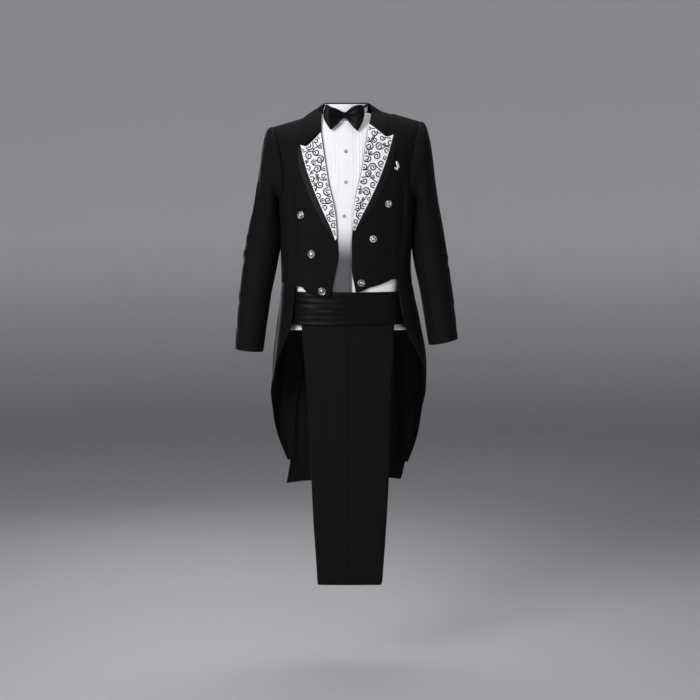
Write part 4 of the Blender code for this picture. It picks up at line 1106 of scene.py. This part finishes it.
stoneSet = {"girdle": 0.5, "crown": 0.32, "crownWidth": 0.72, "table": 0.18, "tableWidth": 0.60}    # shares


def makeStone(radius, height, sides=8):
    # a cut stone: girdle, crown facets and a turned table
    girdle, crown = height * stoneSet["girdle"], height * stoneSet["crown"]
    top = (0, 0, girdle + crown)
    stone = startCylinder(sides, radius, girdle, (0, 0, girdle / 2))
    selectFaces(stone, facesUp)
    pushFaces(crown)
    resizeFaces(stoneSet["crownWidth"], stoneSet["crownWidth"], 1.0, top)
    bpy.ops.transform.rotate(value=math.pi / sides, orient_axis="Z", center_override=top)
    pushFaces(height * stoneSet["table"])
    resizeFaces(stoneSet["tableWidth"], stoneSet["tableWidth"], 1.0, (0, 0, height))
    bpy.ops.mesh.select_all(action="SELECT")
    bpy.ops.mesh.quads_convert_to_tris(quad_method="SHORTEST_DIAGONAL")
    return closePiece(stone, "stone")


buttonSet = {
    "sides": 36, "radius": 0.0104, "plate": 0.0024, "bevel": 0.00022,
    "rim": 0.0011, "dish": 0.0009, "bossInset": 0.0038, "boss": 0.0012, "backInset": 0.0030, "back": 0.0006,
    "stones": 10, "ring": 0.0072, "stoneRadius": 0.0019, "stoneHeight": 0.0022, "stoneSeat": 0.0007,
    "centreRadius": 0.0044, "centreHeight": 0.0036, "centreSides": 12, "centreLift": 0.0002,
    "claw": 0.00055, "clawStretch": 2.2, "clawCut": -0.0004, "clawPlaces": (0.0010, -0.0022),
    "clawLift": 0.0002, "seed": 4,
}


def makeCoatButtonModel():
    # a dished plate with a stone on its boss, and a ring of stones between claws
    plate = startCylinder(buttonSet["sides"], buttonSet["radius"], buttonSet["plate"],
                          (0, 0, buttonSet["plate"] / 2))
    selectFaces(plate, facesUp)
    pushFaces(-buttonSet["dish"], buttonSet["rim"])
    pushFaces(buttonSet["boss"], buttonSet["bossInset"])
    selectFaces(plate, facesDown)
    pushFaces(buttonSet["back"], buttonSet["backInset"])
    closePiece(plate, "metal")
    applyModifier(plate, "BEVEL", width=buttonSet["bevel"], segments=2, limit_method="ANGLE")
    stone = makeStone(buttonSet["stoneRadius"], buttonSet["stoneHeight"])
    centre = makeStone(buttonSet["centreRadius"], buttonSet["centreHeight"], buttonSet["centreSides"])
    centre.data.transform(Matrix.Translation((0, 0, buttonSet["plate"] + buttonSet["centreLift"])))
    parts = [plate, centre]
    pick()
    bpy.ops.mesh.primitive_ico_sphere_add(subdivisions=2, radius=buttonSet["claw"], location=(0, 0, 0))
    claw = openPiece()
    bpy.ops.mesh.select_all(action="SELECT")
    resizeFaces(1.0, 1.0, buttonSet["clawStretch"])
    cutBelow(buttonSet["clawCut"])
    closePiece(claw, "metal")
    seat = Matrix.Translation((buttonSet["ring"], 0, buttonSet["plate"] - buttonSet["stoneSeat"]))
    clawHeight = buttonSet["plate"] + buttonSet["clawLift"]
    for k in range(buttonSet["stones"]):
        turn = 2 * math.pi * k / buttonSet["stones"]
        parts.append(copyPiece(stone, Matrix.Rotation(turn, 4, "Z") @ seat))
        between = Matrix.Rotation(turn + math.pi / buttonSet["stones"], 4, "Z")
        for aside in buttonSet["clawPlaces"]:
            place = Matrix.Translation((buttonSet["ring"] + aside, 0, clawHeight))
            parts.append(copyPiece(claw, between @ place))
    for piece in (stone, claw):
        bpy.data.objects.remove(piece, do_unlink=True)
    return joinPieces(parts, "coatButtonModel")


shirtButtonSet = {
    "sides": 28, "radius": 0.0049, "thickness": 0.0015, "lift": 0.00085, "rim": 0.0010, "dish": 0.0004,
    "bevel": 0.00018, "hole": 0.00055, "holePlace": (0.0011, 0.0011, 0.001), "holeDepth": 0.004,
    "thread": 0.00030, "threadLength": 0.0030, "threadLift": 0.0014, "threadEnd": 0.0001,
}


def makeShirtButtonModel():
    # a dished disc with four holes and crossed thread
    disc = startCylinder(shirtButtonSet["sides"], shirtButtonSet["radius"], shirtButtonSet["thickness"],
                         (0, 0, shirtButtonSet["lift"]))
    selectFaces(disc, facesUp)
    pushFaces(-shirtButtonSet["dish"], shirtButtonSet["rim"])
    closePiece(disc, "shell")
    drill = closePiece(startCylinder(10, shirtButtonSet["hole"], shirtButtonSet["holeDepth"],
                                     shirtButtonSet["holePlace"]), "shell")
    drills = [drill] + [copyPiece(drill, Matrix.Rotation(k * math.pi / 2, 4, "Z")) for k in (1, 2, 3)]
    drill = joinPieces(drills, "drill")
    applyModifier(disc, "BOOLEAN", operation="DIFFERENCE", object=drill, solver="EXACT")
    bpy.data.objects.remove(drill, do_unlink=True)
    applyModifier(disc, "BEVEL", width=shirtButtonSet["bevel"], segments=2, limit_method="ANGLE")
    bar = startCylinder(8, shirtButtonSet["thread"], shirtButtonSet["threadLength"],
                        (0, 0, shirtButtonSet["threadLift"]), rotation=(math.pi / 2, 0, math.pi / 4))
    selectFaces(bar, lambda middle, normal: abs(normal.z) > 0.9)
    pushFaces(-shirtButtonSet["threadEnd"], shirtButtonSet["threadEnd"])
    closePiece(bar, "thread")
    other = copyPiece(bar, Matrix.Rotation(math.pi / 2, 4, "Z"))
    return joinPieces([disc, bar, other], "shirtButtonModel")


def towards(place, normal, spin=0.0):
    # puts a model made along +Z on a surface, with its +Y upward
    across = Vector((0, 0, 1)).cross(normal).normalized()
    up = normal.cross(across)
    turned = Matrix((across, up, normal)).transposed().to_4x4()
    return Matrix.Translation(place) @ turned @ Matrix.Rotation(spin, 4, "Z")


def finishHard(piece, node, angle=28):
    smoothPiece(piece, angle)
    finishPiece(piece, node)


def surfacePlace(piece, node):
    # where the middle of a small solid meets the cloth that carries it
    low, high = nodeBox(node)
    middle = Vector((low + high) / 2)
    place, normal = meshTree(piece).find_nearest(middle)[:2]
    return place, -normal if normal.dot(middle - place) < 0 else normal


def makeButtons():
    model = makeCoatButtonModel()
    chance = random.Random(buttonSet["seed"])
    for sideName in wearerSides:
        front = bpy.data.objects[f"coatFront.{sideName}"]
        for row in ("upper", "middle", "lower"):
            node = f"coat_button_{row}_{sideName}"
            turned = towards(*surfacePlace(front, node), chance.uniform(0, 1))
            finishHard(copyPiece(model, turned, f"coatButton.{row}.{sideName}"), node)
    bpy.data.objects.remove(model, do_unlink=True)
    model = makeShirtButtonModel()
    placket = bpy.data.objects["shirtPlacket"]
    for count in range(1, 6):
        node = f"shirt_button_{count}"
        turned = towards(*surfacePlace(placket, node))
        finishHard(copyPiece(model, turned, f"shirtButton.{count}"), node)
    bpy.data.objects.remove(model, do_unlink=True)


pinSet = {
    # across, up, lean, width, length, thickness
    "petals": ((0.0015, 0.0045, 0.35, 0.0042, 0.0102, 0.0024),
               (-0.0045, -0.0070, 0.90, 0.0027, 0.0058, 0.0022),
               (-0.0005, -0.0045, 0.10, 0.0012, 0.0074, 0.0018)),
    "stones": ((0.0035, -0.0010), (0.0022, 0.0022), (0.0009, 0.0054), (-0.0004, 0.0086)),
    "petalLift": 0.0012, "stoneLift": 0.0030, "stoneRadius": 0.0012, "stoneHeight": 0.0014,
    # shares of a petal's thickness, width and length
    "cut": -0.4, "hollowWidth": 0.42, "hollowAbove": 0.2, "hollowLength": 0.8, "rim": 0.08, "hollow": -0.12,
}


def makePetal(width, length, thickness):
    pick()
    bpy.ops.mesh.primitive_uv_sphere_add(segments=16, ring_count=10, radius=1.0, rotation=(math.pi / 2, 0, 0))
    bpy.ops.object.transform_apply(location=True, rotation=True, scale=True)
    petal = openPiece()
    bpy.ops.mesh.select_all(action="SELECT")
    resizeFaces(width, length, thickness)
    cutBelow(pinSet["cut"] * thickness)
    selectFaces(petal, lambda middle, normal: abs(middle.x) < pinSet["hollowWidth"] * width
                and middle.z > pinSet["hollowAbove"] * thickness
                and abs(middle.y) < pinSet["hollowLength"] * length)
    bpy.ops.mesh.inset(thickness=pinSet["rim"] * width, depth=pinSet["hollow"] * thickness)
    return closePiece(petal, "pinMetal")


def makePin():
    parts = []
    for across, up, lean, width, length, thickness in pinSet["petals"]:
        petal = makePetal(width, length, thickness)
        place = Matrix.Translation((across, up, pinSet["petalLift"]))
        petal.data.transform(place @ Matrix.Rotation(lean, 4, "Z"))
        parts.append(petal)
    stone = makeStone(pinSet["stoneRadius"], pinSet["stoneHeight"])
    for across, up in pinSet["stones"]:
        parts.append(copyPiece(stone, Matrix.Translation((across, up, pinSet["stoneLift"]))))
    bpy.data.objects.remove(stone, do_unlink=True)
    pin = joinPieces(parts, "coatPin")
    pin.data.transform(towards(*surfacePlace(bpy.data.objects["coatFront.left"], "coat_pin")))
    finishHard(pin, "coat_pin", 40)


knotSet = {"lower": 0.0052, "depth": 0.0006, "creaseSlant": 0.05, "halfHeight": 0.0115, "waist": (0.16, 0.14),
           "squash": 0.18, "creases": ((0.0020, 0.0007, 1.0), (-0.0022, 0.0008, 0.8))}


def makeKnot():
    # the band round the middle of the bow, narrowed at its waist and creased down its front
    shell = readShell(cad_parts["bow_knot"].data)
    bmesh.ops.remove_doubles(shell, verts=shell.verts, dist=skinSet["weld"])
    bmesh.ops.subdivide_edges(shell, edges=shell.edges[:], cuts=2, use_grid_fill=True)
    knot = meshPiece("bowKnot", shell, "blackSatin")
    mesh = knot.data
    points, normals = readPoints(mesh), readRows(mesh.vertex_normals, "vector")
    aside, up = points[:, 0] - bowSet["middle"][0], points[:, 2] - bowSet["middle"][2] - knotSet["lower"]
    (slantPlace, slantWidth, slantDepth), (place, width, depth) = knotSet["creases"]
    groove = (slantDepth * np.exp(-((aside - slantPlace + knotSet["creaseSlant"] * up) / slantWidth) ** 2)
              + depth * np.exp(-((aside - place) / width) ** 2))
    points = points - normals * (knotSet["depth"] * groove)[:, None]
    least, more = knotSet["waist"]
    points[:, 0] -= aside * (least + more * (1 - (up / knotSet["halfHeight"]) ** 2))
    points[:, 2] -= knotSet["lower"] + knotSet["squash"] * up
    writePoints(mesh, points)
    clothMap(mesh, flatFront)
    smoothPiece(knot, 60)
    finishPiece(knot, "bow_knot")


makeButtons()
makePin()
makeKnot()
print("buttons, pin and knot made")


# floor, light and camera

stageSet = {
    "floorHeight": -1.585, "wallRadius": 7.5, "bend": 2.6, "bendSteps": 10, "wallTop": 3.6, "sides": 72,
    "firstRadius": 0.5, "near": 0.001, "floorColour": (0.31, 0.308, 0.32), "wallColour": (0.76, 0.755, 0.78),
    "paleFrom": 1.0, "roughness": 0.9,    # metres over the floor from which the paper is pale
    "eye": (0.010, -5.0, -0.185), "lookAt": (0.010, 0.0, -0.667), "lens": 90.1, "clipEnd": 60.0,
    "airColour": (0.80, 0.82, 0.88), "air": 0.45,
}
lightSet = {    # place, what it points at, size, power and spread in degrees
    "keyLight": ((-2.2, -3.6, 1.0), (0.0, 0.0, -0.5), (1.8, 1.8), 158.0, 180.0),
    "fillLight": ((2.2, -3.6, -0.75), (0.0, 0.0, -0.5), (2.2, 1.6), 20.0, 180.0),
    "topLight": ((0.0, 0.8, 2.4), (0.0, 0.0, -0.3), (2.0, 1.2), 45.0, 180.0),
    "rearLight": ((-1.5, 3.8, 0.5), (0.0, 0.0, -0.45), (1.8, 1.8), 32.0, 60.0),
}


def makeStage():
    # a round floor that bends up into a wall, so that every side has the same backdrop
    pick()
    middle, radius = (0, 0, stageSet["floorHeight"]), stageSet["firstRadius"]
    bpy.ops.mesh.primitive_circle_add(vertices=stageSet["sides"], radius=radius, fill_type="NGON",
                                      location=middle)
    floor = bpy.context.object
    floor.name = "studioFloor"
    bpy.ops.object.mode_set(mode="EDIT")
    bpy.ops.mesh.select_mode(type="EDGE")
    bpy.ops.mesh.select_all(action="SELECT")
    wall, bend, height = stageSet["wallRadius"], stageSet["bend"], 0.0
    rows = [(wall - bend, 0.0)]
    for step in range(1, stageSet["bendSteps"] + 1):
        turn = math.radians(90 / stageSet["bendSteps"] * step)
        rows.append((wall - bend * (1 - math.sin(turn)), bend * (1 - math.cos(turn))))
    rows.append((wall, stageSet["wallTop"] - stageSet["floorHeight"]))
    for nextRadius, nextHeight in rows:
        shell = bmesh.from_edit_mesh(floor.data)
        for edge in shell.edges:
            edge.select_set(False)
        for edge in shell.edges:
            if all(max(abs(v.co.xy.length - radius), abs(v.co.z - height)) < stageSet["near"]
                   for v in edge.verts):
                edge.select_set(True)
        bmesh.update_edit_mesh(floor.data)
        pushFaces(nextHeight - height)
        resizeFaces(nextRadius / radius, nextRadius / radius, 1.0, middle)
        radius, height = nextRadius, nextHeight
    bpy.ops.mesh.select_all(action="SELECT")
    bpy.ops.mesh.normals_make_consistent(inside=True)
    bpy.ops.object.mode_set(mode="OBJECT")
    bpy.ops.object.transform_apply(location=True, rotation=True, scale=True)
    mesh = floor.data
    mesh.shade_smooth()
    # the paper is darker on the floor, which gets more light than the wall
    made, nodes, links, shader = newMaterial("studioPaper", stageSet["floorColour"], stageSet["roughness"])
    place, apart = nodes.new("ShaderNodeTexCoord"), nodes.new("ShaderNodeSeparateXYZ")
    pale = addNode(nodes, "ShaderNodeMapRange", {"From Min": stageSet["floorHeight"],
                                                 "From Max": stageSet["floorHeight"] + stageSet["paleFrom"]})
    paper = mixColours(nodes, links, pale.outputs["Result"], stageSet["floorColour"], stageSet["wallColour"])
    wire(links, (place.outputs["Object"], apart.inputs["Vector"]), (apart.outputs["Z"], pale.inputs["Value"]),
         (paper, shader.inputs["Base Color"]))
    mesh.materials.append(made)


def aimAt(item, place, target):
    item.location = place
    item.rotation_euler = (Vector(target) - Vector(place)).to_track_quat("-Z", "Y").to_euler()


def addLight(name, place, target, size, power, spread):
    light = bpy.data.lights.new(name, "AREA")
    light.shape = "RECTANGLE"
    light.size, light.size_y = size
    light.energy = power
    light.spread = math.radians(spread)
    aimAt(linkPiece(name, light), place, target)


def makeCamera():
    camera = bpy.data.cameras.new("camera")
    camera.lens = stageSet["lens"]
    camera.clip_end = stageSet["clipEnd"]
    holder = linkPiece("camera", camera)
    aimAt(holder, stageSet["eye"], stageSet["lookAt"])
    bpy.context.scene.camera = holder


def makeAir():
    world = bpy.data.worlds.new("studioAir")
    world.use_nodes = True
    air = world.node_tree.nodes["Background"]
    air.inputs["Color"].default_value = (*stageSet["airColour"], 1.0)
    air.inputs["Strength"].default_value = stageSet["air"]
    bpy.context.scene.world = world


makeStage()
for lightName, settings in lightSet.items():
    addLight(lightName, *settings)
makeAir()
bpy.context.scene.view_settings.view_transform = "Standard"
makeCamera()
print("stage, light and camera made")
